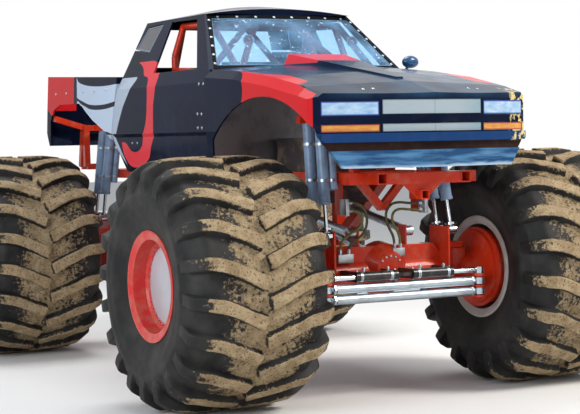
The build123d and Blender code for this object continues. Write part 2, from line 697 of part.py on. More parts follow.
# Rear tower and the bars that hold the bed
BED_INNER = 860 - BODY_WALL - RUNNING_GAP
TOWER_OUT = 560
TOWER_TOP = RAIL_TOP + 390
BED_BAR_HEIGHT = BELT_HEIGHT - 250
with BuildPart() as rear_tower:
    tower_bars = []
    for _, side in SIDES:
        rail_x = RAIL_CENTRE * side
        tower_x = TOWER_OUT * side
        low = RAIL_TOP + LIGHT_TUBE / 2
        for foot_y, top_y in ((2110, 2120), (2225, 2160)):
            tower_bars.append(square_bar(((RAIL_CENTRE + 28) * side, foot_y, low), (tower_x, foot_y, low), LIGHT_TUBE))
            tower_bars.append(square_bar((tower_x, foot_y, low), (tower_x, top_y, TOWER_TOP), LIGHT_TUBE))
        tower_bars.append(square_bar((tower_x, 2110, TOWER_TOP - 200), (tower_x, 2200, TOWER_TOP - 200), 30))
        tower_bars.append(square_bar(
            (tower_x, 2140, TOWER_TOP - 25), (BED_INNER * side, 2140, TOWER_TOP + 60), LIGHT_TUBE
        ))
        tower_bars.append(square_bar((rail_x, 900, RAIL_TOP), (rail_x, 900, BED_BAR_HEIGHT + 25), LIGHT_TUBE))
        tower_bars.append(square_bar((rail_x, 900, BED_BAR_HEIGHT), (BED_INNER * side, 900, BED_BAR_HEIGHT), LIGHT_TUBE))
    tower_bars.append(square_bar((-TOWER_OUT, 2140, TOWER_TOP - 25), (TOWER_OUT, 2140, TOWER_TOP - 25), LIGHT_TUBE))
    add(tower_bars)
    for _, side in SIDES:
        add(block(
            (BED_INNER * side, 2000, TOWER_TOP - 130), ((BED_INNER + 100) * side, 2300, TOWER_TOP + 270)
        ), mode=Mode.SUBTRACT)
finish(rear_tower, "rear_tower")

# Power unit: plain masses with the plates that hold them between the rails
with BuildPart() as engine:
    add([
        block((-220, -1430, 1310), (220, -850, 1780)),
        block((-RAIL_INNER + RUNNING_GAP, -1425, 1465), (RAIL_INNER - RUNNING_GAP, -1413, 1560)),
        block((-RAIL_INNER + RUNNING_GAP, -870, 1465), (RAIL_INNER - RUNNING_GAP, -858, 1560)),
    ])
finish(engine, "engine")

BRACE_INNER = RAIL_CENTRE - LIGHT_TUBE / 2 - RUNNING_GAP
with BuildPart() as gearbox:
    add([
        block((-140, -850 + RUNNING_GAP, 1180), (140, -330, 1450)),
        block((-190, -340, 830), (190, -60, 1450)),
        block((-BRACE_INNER, -220, 1100), (BRACE_INNER, -208, 1440)),
    ])
finish(gearbox, "gearbox")

SHAFT_HEIGHT = 900
NOSE_HEIGHT = AXLE_HEIGHT + 30
with BuildPart() as drive_shafts:
    for box_face, end in ((-340 - RUNNING_GAP, -1), (-60 + RUNNING_GAP, 1)):
        near = Vector(0, box_face, SHAFT_HEIGHT)
        far = Vector(0, (AXLE_PLACE - NOSE_REACH - RUNNING_GAP) * end, NOSE_HEIGHT)
        add(round_bar(near, near + Vector(0, 60 * end, 0), 110))
        add(round_bar(near + Vector(0, 50 * end, 0), far - Vector(0, 50 * end, 0), 80))
        add(round_bar(far - Vector(0, 60 * end, 0), far, 110))
finish(drive_shafts, "drive_shafts")

with BuildPart() as fuel_cell:
    add(block((-300, 960, RAIL_TOP), (300, 1330, RAIL_TOP + 260)))
finish(fuel_cell, "fuel_cell")

# Body

# The body's side from sill to belt. Columns: out from the middle, height
BODY_SIDE = (
    (835, SILL_HEIGHT), (843, CREASE_HEIGHT - 26), (860, CREASE_HEIGHT), (862, 2060), (850, BELT_HEIGHT - 90),
    (812, BELT_HEIGHT),
)


def side_section(inset, bottom, top_extra=0):
    """The outline across the lower body, drawn in by the given inset."""
    points = [(out - inset, height) for out, height in BODY_SIDE]
    points[0] = (points[0][0], bottom)
    points[-1] = (points[-1][0], BELT_HEIGHT + top_extra)
    return both_sides(points)


def greenhouse_outline(inset, half_width, front_y, bulge, back_y):
    """A level outline of the greenhouse, with its front bowed forward."""
    left = (half_width - inset, front_y + inset)
    right = (-half_width + inset, front_y + inset)
    with BuildSketch() as outline:
        with BuildLine():
            ThreePointArc(left, (0, front_y - bulge + inset), right)
            Polyline(right, (-half_width + inset, back_y - inset), (half_width - inset, back_y - inset), left)
        make_face()
    return outline.sketch.face()


# Roof arches. Columns: y, half width, rise above the roof's edge
ROOF_ARCHES = ((-535, 600, 42), (-200, 611, 84), (592, 604, 68))


def greenhouse(inset, bottom):
    """The solid inside the greenhouse's skin, inset from its outside."""
    base = greenhouse_outline(inset, 812, -945, 95, CAB_BACK)
    roof = greenhouse_outline(inset, 612, -475, 62, 592)
    with BuildPart() as room:
        with BuildSketch(Plane.XY.offset(bottom)):
            add(base)
        with BuildSketch(Plane.XY.offset(ROOF_HEIGHT)):
            add(roof)
        loft(ruled=True)
        for y, half_width, rise in ROOF_ARCHES:
            half = half_width - inset
            trim = inset if y > 0 else -inset
            with BuildSketch(across(y - trim)):
                with BuildLine():
                    ThreePointArc((-half, ROOF_HEIGHT - 1), (0, ROOF_HEIGHT + rise - inset), (half, ROOF_HEIGHT - 1))
                    Line((half, ROOF_HEIGHT - 1), (-half, ROOF_HEIGHT - 1))
                make_face()
        loft(ruled=True)
    return room.part


# Windows in the cab's sides. Columns: y, height of each corner
DOOR_WINDOW = (
    (-730, BELT_HEIGHT + 15), (-378, ROOF_HEIGHT - 34), (85, ROOF_HEIGHT - 24), (58, BELT_HEIGHT + 15)
)
QUARTER_WINDOW = (
    (306, BELT_HEIGHT + 183), (236, ROOF_HEIGHT - 26), (535, ROOF_HEIGHT - 38), (628, BELT_HEIGHT + 220)
)
WINDSCREEN_OPENING = ((742, BELT_HEIGHT + 27), (584, ROOF_HEIGHT - 32))
REAR_OPENING = ((560, BELT_HEIGHT + 85), (480, ROOF_HEIGHT - 52))

cab_bottom_back = 545
with BuildPart() as cab_shell:
    with BuildSketch(across(CAB_BACK + 300)):
        Polygon(*side_section(0, SILL_HEIGHT), align=None)
    extrude(amount=CAB_BACK + 300 - COWL)
    with BuildSketch(Plane.YZ):
        Polygon(
            (COWL, SILL_HEIGHT),
            (COWL, BELT_HEIGHT),
            (CAB_BACK, BELT_HEIGHT),
            (CAB_BACK + CAB_BACK_SLOPE, 1800),
            (cab_bottom_back, 1548),
            (500, SILL_HEIGHT),
            align=None,
        )
    extrude(amount=1000, both=True, mode=Mode.INTERSECT)
    add(greenhouse(0, BELT_HEIGHT))
    with BuildPart(mode=Mode.PRIVATE) as cab_room:
        with BuildSketch(across(CAB_BACK + 300)):
            Polygon(*side_section(BODY_WALL, SILL_HEIGHT - 60), align=None)
        extrude(amount=CAB_BACK + 300 - COWL + 40)
        with BuildSketch(Plane.YZ):
            Polygon(
                (COWL - 20, SILL_HEIGHT - 60),
                (COWL - 20, BELT_HEIGHT),
                (CAB_BACK - BODY_WALL, BELT_HEIGHT),
                (CAB_BACK + CAB_BACK_SLOPE - BODY_WALL, 1806),
                (cab_bottom_back - 16, 1557),
                (490, SILL_HEIGHT - 60),
                align=None,
            )
        extrude(amount=1000, both=True, mode=Mode.INTERSECT)
        add(greenhouse(BODY_WALL, BELT_HEIGHT - 1))
    add(cab_room.part, mode=Mode.SUBTRACT)
    for window in (DOOR_WINDOW, QUARTER_WINDOW):
        with BuildSketch(Plane.YZ):
            Polygon(*window, align=None)
        extrude(amount=1000, both=True, mode=Mode.SUBTRACT)
    with BuildSketch(across(-430)):
        Polygon(*both_sides(list(WINDSCREEN_OPENING)), align=None)
    extrude(amount=700, mode=Mode.SUBTRACT)
    with BuildSketch(across(CAB_BACK + 100)):
        Polygon(*both_sides(list(REAR_OPENING)), align=None)
    extrude(amount=200, mode=Mode.SUBTRACT)
finish(cab_shell, "cab_shell")

# Windscreen sheet, bolted over its opening
with BuildPart() as windscreen:
    with BuildSketch(Plane.XY.offset(BELT_HEIGHT)):
        add(greenhouse_outline(0, 812, -945 - SHEET, 95, CAB_BACK))
    with BuildSketch(Plane.XY.offset(ROOF_HEIGHT)):
        add(greenhouse_outline(0, 612, -475 - SHEET, 62, 592))
    loft(ruled=True)
    with BuildSketch(across(-300)):
        Polygon(*both_sides([(772, BELT_HEIGHT + 7), (604, ROOF_HEIGHT - 10)]), align=None)
    extrude(amount=900, mode=Mode.INTERSECT)
    with BuildPart(mode=Mode.PRIVATE) as behind_sheet:
        with BuildSketch(Plane.XY.offset(BELT_HEIGHT)):
            add(greenhouse_outline(0, 812, -945, 95, CAB_BACK))
        with BuildSketch(Plane.XY.offset(ROOF_HEIGHT)):
            add(greenhouse_outline(0, 612, -475, 62, 592))
        loft(ruled=True)
    add(behind_sheet.part, mode=Mode.SUBTRACT)
finish(windscreen, "windscreen")

# Front clip: fenders, hood and nose in one moulding.
# Columns: y, half width, shoulder height, crown height, hood edge height, middle height
CLIP_SECTIONS = (
    (COWL, 862, 2225, 2284, 2300, 2335),
    (-1420, 862, 2195, 2254, 2268, 2306),
    (-1900, 858, 2132, 2194, 2204, 2236),
    (-2340, 846, 2052, 2112, 2124, 2150),
    (NOSE_FRONT - 30, 826, 1975, 2026, 2036, 2056),
)
# Hood scoop. Columns: y, half width at the foot, half width at the top, foot height, top height
SCOOP_SECTIONS = ((-1090, 300, 235, 2270, 2392), (-2230, 44, 26, 2120, 2182))


def nose_y(x):
    """How far forward the nose's arc reaches at a distance from the middle."""
    radius = (NOSE_CORNER_OUT**2 + NOSE_CORNER_BACK**2) / (2 * NOSE_CORNER_BACK)
    return NOSE_FRONT + radius - sqrt(radius**2 - x**2)


def nose_plan(inset):
    """The front clip seen from above, drawn in by the given inset."""
    corner = NOSE_CORNER_OUT - inset / 2
    corner_y = nose_y(NOSE_CORNER_OUT) + inset
    side = 880 - inset
    with BuildSketch() as plan:
        with BuildLine():
            ThreePointArc((-corner, corner_y), (0, NOSE_FRONT + inset), (corner, corner_y))
            Polyline(
                (corner, corner_y), (side, -2370), (side, COWL + 100), (-side, COWL + 100), (-side, -2370),
                (-corner, corner_y),
            )
        make_face()
    return plan.sketch.face()


def nose_band(half_width, back, front, crease=0):
    """A strip that follows the nose's arc, between two distances ahead of it."""
    end_y = nose_y(half_width)
    with BuildSketch() as band:
        with BuildLine():
            ThreePointArc((-half_width, end_y - back), (0, NOSE_FRONT - back), (half_width, end_y - back))
            Line((half_width, end_y - back), (half_width, end_y - front))
            if crease:
                Polyline((half_width, end_y - front), (0, NOSE_FRONT - front - crease), (-half_width, end_y - front))
            else:
                ThreePointArc((half_width, end_y - front), (0, NOSE_FRONT - front), (-half_width, end_y - front))
            Line((-half_width, end_y - front), (-half_width, end_y - back))
        make_face()
    return band.sketch.face()


def clip_outline(row, inset, bottom):
    """The outline across the front clip at one section, drawn in by the inset."""
    _, half_width, shoulder, crown, hood, middle = row
    return both_sides([
        (half_width - 25 - inset, bottom),
        (half_width - inset, 1838),
        (half_width - inset, shoulder - inset / 2),
        (half_width - 62 - inset / 2, crown - inset),
        (half_width - 260, hood - inset),
        (0, middle - inset),
    ])


# Openings in the nose. Columns: name, inner edge, outer edge, bottom, top, mirrored or spanning
NOSE_PANELS = (
    ("upper grille", -386, 386, 1925, 2018),
    ("lower grille", -386, 386, 1812, 1862),
    ("left headlamp", 404, 786, 1916, 2010),
    ("right headlamp", -786, -404, 1916, 2010),
    ("left turn lamp", 402, 786, 1812, 1860),
    ("right turn lamp", -786, -402, 1812, 1860),
)


def panel_window(low_x, high_x, bottom, top, trim=0):
    """A prism through the nose, smaller by the trim all round."""
    return block((low_x + trim, -2800, bottom + trim), (high_x - trim, -2400, top - trim))


with BuildPart() as front_clip:
    for row in CLIP_SECTIONS:
        with BuildSketch(across(row[0])):
            Polygon(*clip_outline(row, 0, SILL_HEIGHT), align=None)
    loft(ruled=True)
    with BuildSketch(Plane.XY.offset(SILL_HEIGHT - 100)):
        add(nose_plan(0))
    extrude(amount=1200, mode=Mode.INTERSECT)
    for y, foot_half, top_half, foot_height, top_height in SCOOP_SECTIONS:
        with BuildSketch(across(y)):
            Polygon(*both_sides([(foot_half, foot_height), (top_half, top_height)]), align=None)
    loft(ruled=True)
    with BuildPart(mode=Mode.PRIVATE) as clip_room:
        for row in CLIP_SECTIONS:
            with BuildSketch(across(row[0] + (20 if row[0] == COWL else 0))):
                Polygon(*clip_outline(row, BODY_WALL, SILL_HEIGHT - 60), align=None)
        loft(ruled=True)
        with BuildSketch(Plane.XY.offset(SILL_HEIGHT - 100)):
            add(nose_plan(BODY_WALL))
        extrude(amount=1200, mode=Mode.INTERSECT)
        for y, foot_half, top_half, foot_height, top_height in SCOOP_SECTIONS:
            with BuildSketch(across(y + (20 if y > -1500 else 120))):
                Polygon(*both_sides([
                    (foot_half - 10, foot_height - 60), (top_half - 10, top_height - BODY_WALL)
                ]), align=None)
        loft(ruled=True)
    add(clip_room.part, mode=Mode.SUBTRACT)
    # Bumper bar and valance stand proud of the nose
    with BuildSketch(Plane.XY.offset(BUMPER_BOTTOM)):
        add(nose_band(790, -6, 34))
    extrude(amount=BUMPER_HEIGHT)
    with BuildSketch(Plane.XY.offset(VALANCE_BOTTOM)):
        add(nose_band(790, -6, 26, 34))
    extrude(amount=VALANCE_HEIGHT)
    # Wheel arch, and all that lies below the nose's back
    with BuildSketch(Plane.YZ):
        with BuildLine():
            ThreePointArc((-1078, 1778), (-1830, 2064), (-2500, 1838))
            Polyline((-2500, 1838), (-2540, 1700), (-2540, 1400), (-1062, 1400), (-1062, 1620), (-1078, 1778))
        make_face()
    extrude(amount=1000, both=True, mode=Mode.SUBTRACT)
    # The nose narrows below the lamps to the valance's corners
    for _, side in SIDES:
        with BuildSketch(across(-2400)):
            Polygon(
                (900 * side, 1842), (852 * side, 1842), (655 * side, VALANCE_BOTTOM), (655 * side, 1400),
                (900 * side, 1400), align=None,
            )
        extrude(amount=500, mode=Mode.SUBTRACT)
    add(block((-900, -2800, 1400), (900, -2400, VALANCE_BOTTOM)), mode=Mode.SUBTRACT)
    # Room for the windscreen's foot
    with BuildSketch(Plane.XY.offset(2200)):
        add(greenhouse_outline(-RUNNING_GAP, 812, -945 - SHEET, 95, CAB_BACK))
    extrude(amount=300, mode=Mode.SUBTRACT)
    for _, low_x, high_x, bottom, top in NOSE_PANELS:
        add(panel_window(low_x, high_x, bottom, top), mode=Mode.SUBTRACT)
finish(front_clip, "front_clip")


def make_nose_panels(words, name):
    """The sheets that fill the nose's openings whose names contain the words."""
    with BuildPart() as panels:
        for row_name, low_x, high_x, bottom, top in NOSE_PANELS:
            if words in row_name:
                with BuildSketch(Plane.XY.offset(bottom + RUNNING_GAP)):
                    add(nose_band(798, -10, -4))
                extrude(amount=top - bottom - 2 * RUNNING_GAP)
        windows = [panel_window(*row[1:], RUNNING_GAP) for row in NOSE_PANELS if words in row[0]]
        add(windows, mode=Mode.INTERSECT)
    finish(panels, name)


make_nose_panels("grille", "grille_panels")
make_nose_panels("headlamp", "headlamp_panels")
make_nose_panels("turn lamp", "turn_lamp_panels")

# Bed: two sides, front wall and tail in one moulding, open above and below
bed_front_top = CAB_BACK + BODY_GAP
bed_front_bottom = CAB_BACK + CAB_BACK_SLOPE + BODY_GAP
with BuildPart() as bed_shell:
    with BuildSketch(across(2400)):
        Polygon(*both_sides([(846, 1540), (860, 1838), (860, 2100), (856, 2400)]), align=None)
    extrude(amount=1900)
    with BuildSketch(Plane.YZ):
        Polygon(
            (bed_front_top, 2296),
            (2235, 2360),
            (2288, 1869),
            (2240, 1754),
            (2205, 1754),
            (2196, 1960),
            (2120, 2060),
            (1950, 2107),
            (1500, 2107),
            (1210, 1963),
            (985, 1880),
            (bed_front_bottom, 1800),
            align=None,
        )
    extrude(amount=1000, both=True, mode=Mode.INTERSECT)
    with BuildPart(mode=Mode.PRIVATE) as bed_room:
        with BuildSketch(across(2400)):
            Polygon(*both_sides([(831, 1540), (845, 1838), (845, 2100), (843, 2400)]), align=None)
        extrude(amount=1900)
        with BuildSketch(Plane.YZ):
            Polygon(
                (bed_front_top + BODY_WALL, 2276),
                (2207, 2338),
                (2258, 1869),
                (2212, 1740),
                (bed_front_bottom + BODY_WALL + 20, 1740),
                align=None,
            )
        extrude(amount=1000, both=True, mode=Mode.INTERSECT)
        with BuildSketch(Plane.XY.offset(2200)):
            with Locations((0, (730 + 2170) / 2)):
                Rectangle(1590, 2170 - 730)
        extrude(amount=300)
    add(bed_room.part, mode=Mode.SUBTRACT)
finish(bed_shell, "bed_shell")

# Cab interior
with BuildPart() as cab_floor:
    add(block((-819.7, -800, RAIL_TOP), (819.7, 490, FLOOR_TOP)))
finish(cab_floor, "cab_floor")

firewall_top = 2224
with BuildPart() as firewall:
    with BuildSketch(across(-800)):
        Polygon(*side_section(BODY_WALL + RUNNING_GAP, FLOOR_TOP), align=None)
    extrude(amount=SHEET)
    add(block((-900, -900, firewall_top), (900, -700, 2400)), mode=Mode.SUBTRACT)
finish(firewall, "firewall")

with BuildPart() as dash:
    add([
        block((-650, -940, firewall_top + RUNNING_GAP), (650, -640, firewall_top + RUNNING_GAP + SHEET)),
        block((-420, -700, 2050), (420, -640, firewall_top + SHEET)),
    ])
finish(dash, "dash")

SEAT_WIDTH = 480
with BuildPart() as seat:
    with BuildSketch(Plane.YZ):
        Polygon(
            (-330, FLOOR_TOP),
            (-330, 1740),
            (-310, 1775),
            (60 - 130, 1745),
            (-20, 2380),
            (20, 2400),
            (25, 2380),
            (20, 1700),
            (20, FLOOR_TOP),
            align=None,
        )
    extrude(amount=SEAT_WIDTH / 2, both=True)
finish(seat, "seat")

with BuildPart() as steering_wheel:
    wheel_centre = Vector(0, -500, 2110)
    column_end = Vector(0, -640 - 0.5, 2160)
    slope = (wheel_centre - column_end).normalized()
    with BuildSketch(Plane(origin=wheel_centre, x_dir=(1, 0, 0), z_dir=slope)):
        Circle(175)
        Circle(147, mode=Mode.SUBTRACT)
        Rectangle(310, 34)
        with Locations((0, -80)):
            Rectangle(34, 150)
    extrude(amount=24)
    add(round_bar(column_end, wheel_centre + slope * 5, 44))
    add(block((-200, -700, 1900), (200, -640 + RUNNING_GAP, 2300)), mode=Mode.SUBTRACT)
finish(steering_wheel, "steering_wheel")

with BuildPart() as door_mirror:
    add(block((878, -905, 2300), (1020, -815, 2400)))
    fillet(door_mirror.edges().filter_by(Axis.X), 38)
    fillet(door_mirror.faces().sort_by(Axis.X)[-1].edges(), 20)
    add(round_bar((825, -860, 2215), (890, -860, 2330), 36))
    with BuildSketch(across(-700)):
        Polygon(*side_section(-RUNNING_GAP, SILL_HEIGHT), align=None)
    extrude(amount=300, mode=Mode.SUBTRACT)
finish(door_mirror, "door_mirror")
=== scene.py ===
import json
import logging
import math
from dataclasses import dataclass, field
from enum import Enum
from functools import reduce
from typing import Optional, Sequence

import bpy
import numpy as np
from mathutils import Matrix, Vector


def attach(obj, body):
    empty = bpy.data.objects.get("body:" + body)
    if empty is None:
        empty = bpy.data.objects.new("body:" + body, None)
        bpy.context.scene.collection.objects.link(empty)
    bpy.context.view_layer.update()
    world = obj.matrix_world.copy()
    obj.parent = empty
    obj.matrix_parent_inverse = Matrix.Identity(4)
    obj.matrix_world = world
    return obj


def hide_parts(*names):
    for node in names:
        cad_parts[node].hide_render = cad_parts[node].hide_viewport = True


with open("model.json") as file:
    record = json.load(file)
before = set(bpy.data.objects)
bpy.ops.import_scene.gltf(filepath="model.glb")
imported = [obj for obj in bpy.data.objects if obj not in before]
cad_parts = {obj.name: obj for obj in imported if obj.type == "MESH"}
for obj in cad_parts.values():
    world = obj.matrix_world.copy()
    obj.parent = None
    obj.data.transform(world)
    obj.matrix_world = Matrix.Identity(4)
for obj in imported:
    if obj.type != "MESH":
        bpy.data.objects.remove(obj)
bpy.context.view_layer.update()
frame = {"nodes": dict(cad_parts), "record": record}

log = logging.getLogger("monster_truck")

Array = np.ndarray
Point = Sequence[float]
Pairs = Sequence[tuple[float, float]]
Colour = tuple[float, float, float]
Socket = bpy.types.NodeSocket
NODES = frame["nodes"]
# Every finish's material by its name, filled as each is made
MATERIALS: dict[str, bpy.types.Material] = {}

# Metres. X to the truck's left, Y to the rear, Z up, ground at Z = 0.
AXLE_HEIGHT = 0.838
AXLE_PLACE = 1.925
WHEEL_OUT = 1.28
# A turned profile's radius where it meets its axis
POLE = 1e-5


class Side(Enum):
    """The truck's two sides, by the sign of X."""

    RIGHT = -1
    LEFT = 1

    @property
    def letter(self) -> str:
        """The side's letter in the node names."""
        return self.name[0].lower()


class End(Enum):
    """The truck's two ends, by the sign of Y."""

    FRONT = -1
    REAR = 1

    @property
    def word(self) -> str:
        """The end's word in the node names."""
        return self.name.lower()


# Meshes


def around(count: int) -> Array:
    """Angles evenly round a circle."""
    return np.linspace(0, 2 * math.pi, count, endpoint=False)


def placed(name: str, data: bpy.types.ID) -> bpy.types.Object:
    """Puts a new object with the data into the scene."""
    made = bpy.data.objects.new(name, data)
    bpy.context.scene.collection.objects.link(made)
    return made


def turned(profile: Pairs, centre: Point, axis: Point, steps: int) -> Array:
    """A profile turned about an axis.

    With a unit axis a and two unit vectors p and q square to it, point (i, j) is
    centre + along_j a + radius_j (cos t_i p + sin t_i q), for t_i evenly round the circle.

    Args:
        profile: Pairs of distance along the axis and radius.
        centre: The axis's own zero.
        axis: The axis's direction.
        steps: How many rows round the circle.

    Returns:
        Array of steps by profile points by 3, to be wrapped in its first parameter.
    """
    a = np.array(Vector(axis).normalized())
    p = np.cross(a, [0.0, 0.0, 1.0] if abs(a[2]) < 0.9 else [0.0, 1.0, 0.0])
    p /= np.linalg.norm(p)
    q = np.cross(a, p)
    t = around(steps)[:, None, None]
    along, radius = np.array(profile, float).T[:, None, :, None]
    return np.array(centre) + along * a + radius * (np.cos(t) * p + np.sin(t) * q)


@dataclass
class Surface:
    """Points and faces of one piece, collected before they become a mesh."""

    points: list[Array] = field(default_factory=list)
    faces: list[Array] = field(default_factory=list)
    slots: list[Array] = field(default_factory=list)
    count: int = 0

    def add(self, points: Array, faces: Array, slot: int = 0) -> "Surface":
        """Adds points and the faces between them.

        Args:
            points: Array of n points by 3.
            faces: Array of faces by 3 or 4 indices into the points.
            slot: The material slot of these faces.

        Returns:
            This surface.
        """
        self.points.append(np.asarray(points, float).reshape(-1, 3))
        self.faces.append(np.asarray(faces, int) + self.count)
        self.slots.append(np.full(len(faces), slot, int))
        self.count += len(self.points[-1])
        return self

    def grid(self, points: Array, wrap_u: bool = False, wrap_v: bool = False, slot: int = 0) -> "Surface":
        """Adds a sheet of quads over a grid of points.

        Each cell (i, j) becomes the quad (i, j), (i+1, j), (i+1, j+1), (i, j+1), so faces point along the
        cross product of the first parameter's direction with the second's.

        Args:
            points: Array of rows by columns by 3.
            wrap_u: True where the last row joins the first.
            wrap_v: True where the last column joins the first.
            slot: The material slot of these faces.

        Returns:
            This surface.
        """
        rows, columns = points.shape[:2]
        i = np.arange(rows if wrap_u else rows - 1)[:, None]
        j = np.arange(columns if wrap_v else columns - 1)[None, :]
        up, right = (i + 1) % rows, (j + 1) % columns
        quads = np.stack([i * columns + j, up * columns + j, up * columns + right, i * columns + right], -1)
        return self.add(points, quads.reshape(-1, 4), slot)

    def turn(self, profile: Pairs, centre: Point, axis: Point, steps: int, slot: int = 0) -> "Surface":
        """Adds a profile turned about an axis, as the function turned makes it."""
        return self.grid(turned(profile, centre, axis, steps), wrap_u=True, slot=slot)

    def fan(self, ring: Array, slot: int = 0, flip: bool = False) -> "Surface":
        """Closes a ring of points with triangles to its middle.

        Args:
            ring: Array of n points by 3, in order.
            slot: The material slot of these faces.
            flip: True to turn the faces round.

        Returns:
            This surface.
        """
        n = len(ring)
        i = np.arange(n)
        order = (n + 0 * i, (i + 1) % n, i) if flip else (n + 0 * i, i, (i + 1) % n)
        return self.add(np.vstack([ring, ring.mean(0)]), np.stack(order, -1), slot)

    def bolts(self, places: Array, normal: Point, radius: float, height: float) -> None:
        """Adds six-sided bolt heads, each a short prism with a chamfered top.

        Args:
            places: Array of n foot centres by 3.
            normal: The direction in which the heads stand.
            radius: A head's radius across its corners.
            height: A head's height.
        """
        profile = ((0, radius), (height * 0.75, radius), (height, radius * 0.8), (height, POLE))
        head = turned(profile, (0, 0, 0), normal, 6)
        for place in np.asarray(places, float).reshape(-1, 3):
            self.grid(head + place, wrap_u=True)

    def domes(self, places: Sequence[Optional[tuple[Array, Array]]], radius: float, height: float) -> None:
        """Adds round-headed screws or rivets.

        Args:
            places: Pairs of foot centre and the direction in which the head stands, or None for no head.
            radius: A head's radius.
            height: A head's height.
        """
        profile = ((0, radius), (height * 0.5, radius * 0.9), (height * 0.85, radius * 0.55), (height, POLE))
        for place, normal in filter(None, places):
            self.turn(profile, place, normal, 12)

    def block(self, corner: Point, opposite: Point, edge: float, steps: int = 16) -> None:
        """Adds a block with rounded edges between two corners.

        A unit vector n maps to centre + sign(n) (half size - edge) + edge n, so each octant of a sphere
        rounds one corner and the flat faces lie between the octants.

        Args:
            corner: One corner.
            opposite: The corner across the block from it.
            edge: The edges' radius.
            steps: How many rows of points go round the block.
        """
        low, high = np.sort(np.array([corner, opposite], float), axis=0)
        t = (np.arange(steps) + 0.5)[:, None] * 2 * math.pi / steps
        u = np.linspace(-math.pi / 2, math.pi / 2, steps // 2)[None, :]
        n = np.stack([np.cos(u) * np.cos(t), np.cos(u) * np.sin(t), np.sin(u) + 0 * t], -1)
        points = (low + high) / 2 + np.sign(n) * ((high - low) / 2 - edge) + edge * n
        self.grid(points, wrap_u=True).fan(points[:, -1]).fan(points[:, 0], flip=True)

    def build(self, name: str, materials: Sequence[str], slot: str, body: str = "chassis",
              sharp: float = 35.0) -> bpy.types.Object:
        """Makes the Blender object.

        Args:
            name: The piece's name.
            materials: The name of the material for each slot number used.
            slot: The record's material slot. Not used.
            body: The body that carries the piece.
            sharp: Edges that turn by more than this many degrees stay sharp.

        Returns:
            The new object, in the scene and riding on its body.
        """
        mesh = bpy.data.meshes.new(name)
        points = np.vstack(self.points)
        sizes = np.concatenate([np.full(len(f), f.shape[1]) for f in self.faces])
        corners = np.concatenate([f.ravel() for f in self.faces])
        mesh.vertices.add(len(points))
        mesh.vertices.foreach_set("co", points.ravel())
        mesh.loops.add(len(corners))
        mesh.loops.foreach_set("vertex_index", corners)
        mesh.polygons.add(len(sizes))
        mesh.polygons.foreach_set("loop_start", np.concatenate([[0], np.cumsum(sizes)[:-1]]))
        mesh.polygons.foreach_set("material_index", np.concatenate(self.slots))
        mesh.update(calc_edges=True)
        mesh.validate()
        for material in materials:
            mesh.materials.append(MATERIALS[material])
        mesh.polygons.foreach_set("use_smooth", np.ones(len(mesh.polygons), bool))
        mesh.set_sharp_from_angle(angle=math.radians(sharp))
        piece = placed(name, mesh)
        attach(piece, body)
        log.info("%s: %d faces", name, len(mesh.polygons))
        return piece


def tube(path: Sequence[Point], radii: Sequence[float], steps: int) -> Array:
    """A round tube along a line of points.

    Args:
        path: The line's points.
        radii: The tube's radius at each point.
        steps: How many columns round the tube.

    Returns:
        Array of path points by steps by 3, to be wrapped in its second parameter.
    """
    line = np.asarray(path, float)
    along = np.gradient(line, axis=0)
    along /= np.linalg.norm(along, axis=1, keepdims=True)
    side = np.cross(along[0], [0.0, 0.0, 1.0] if abs(along[0][2]) < 0.9 else [0.0, 1.0, 0.0])
    sides = []
    for tangent in along:
        side = side - tangent * side.dot(tangent)
        side = side / np.linalg.norm(side)
        sides.append(side)
    p = np.array(sides)[:, None]
    q = np.cross(along, np.array(sides))[:, None]
    t = -around(steps)[None, :, None]
    return line[:, None] + np.array(radii)[:, None, None] * (np.cos(t) * p + np.sin(t) * q)


def landing(nodes: Sequence[str], start: Point, toward: Point) -> Optional[tuple[Array, Array]]:
    """Where a ray first meets any of some CAD nodes.

    Args:
        nodes: The nodes' names.
        start: Where the ray starts.
        toward: Its direction.

    Returns:
        The nearest meeting point and the surface's normal there, or None where the ray misses.
    """
    graph = bpy.context.evaluated_depsgraph_get()
    origin, ray = Vector(start), Vector(toward).normalized()
    found = []
    for name in nodes:
        hit, place, normal, _ = NODES[name].ray_cast(origin, ray, depsgraph=graph)
        if hit:
            found.append(((place - origin).length, np.array(place), np.array(normal)))
    if not found:
        log.warning("no landing on %s from %s", nodes, start)
        return None
    return min(found, key=lambda row: row[0])[1:]


def smoothstep(low: float, high: float, x: Array) -> Array:
    """0 below low, 1 above high, and 3t^2 - 2t^3 between, with t from 0 to 1."""
    t = np.clip((x - low) / (high - low), 0, 1)
    return t * t * (3 - 2 * t)


# Finishes


def toned(colour: Colour, share: float) -> Colour:
    """The colour, brighter or darker by a share."""
    return tuple(share * c for c in colour)


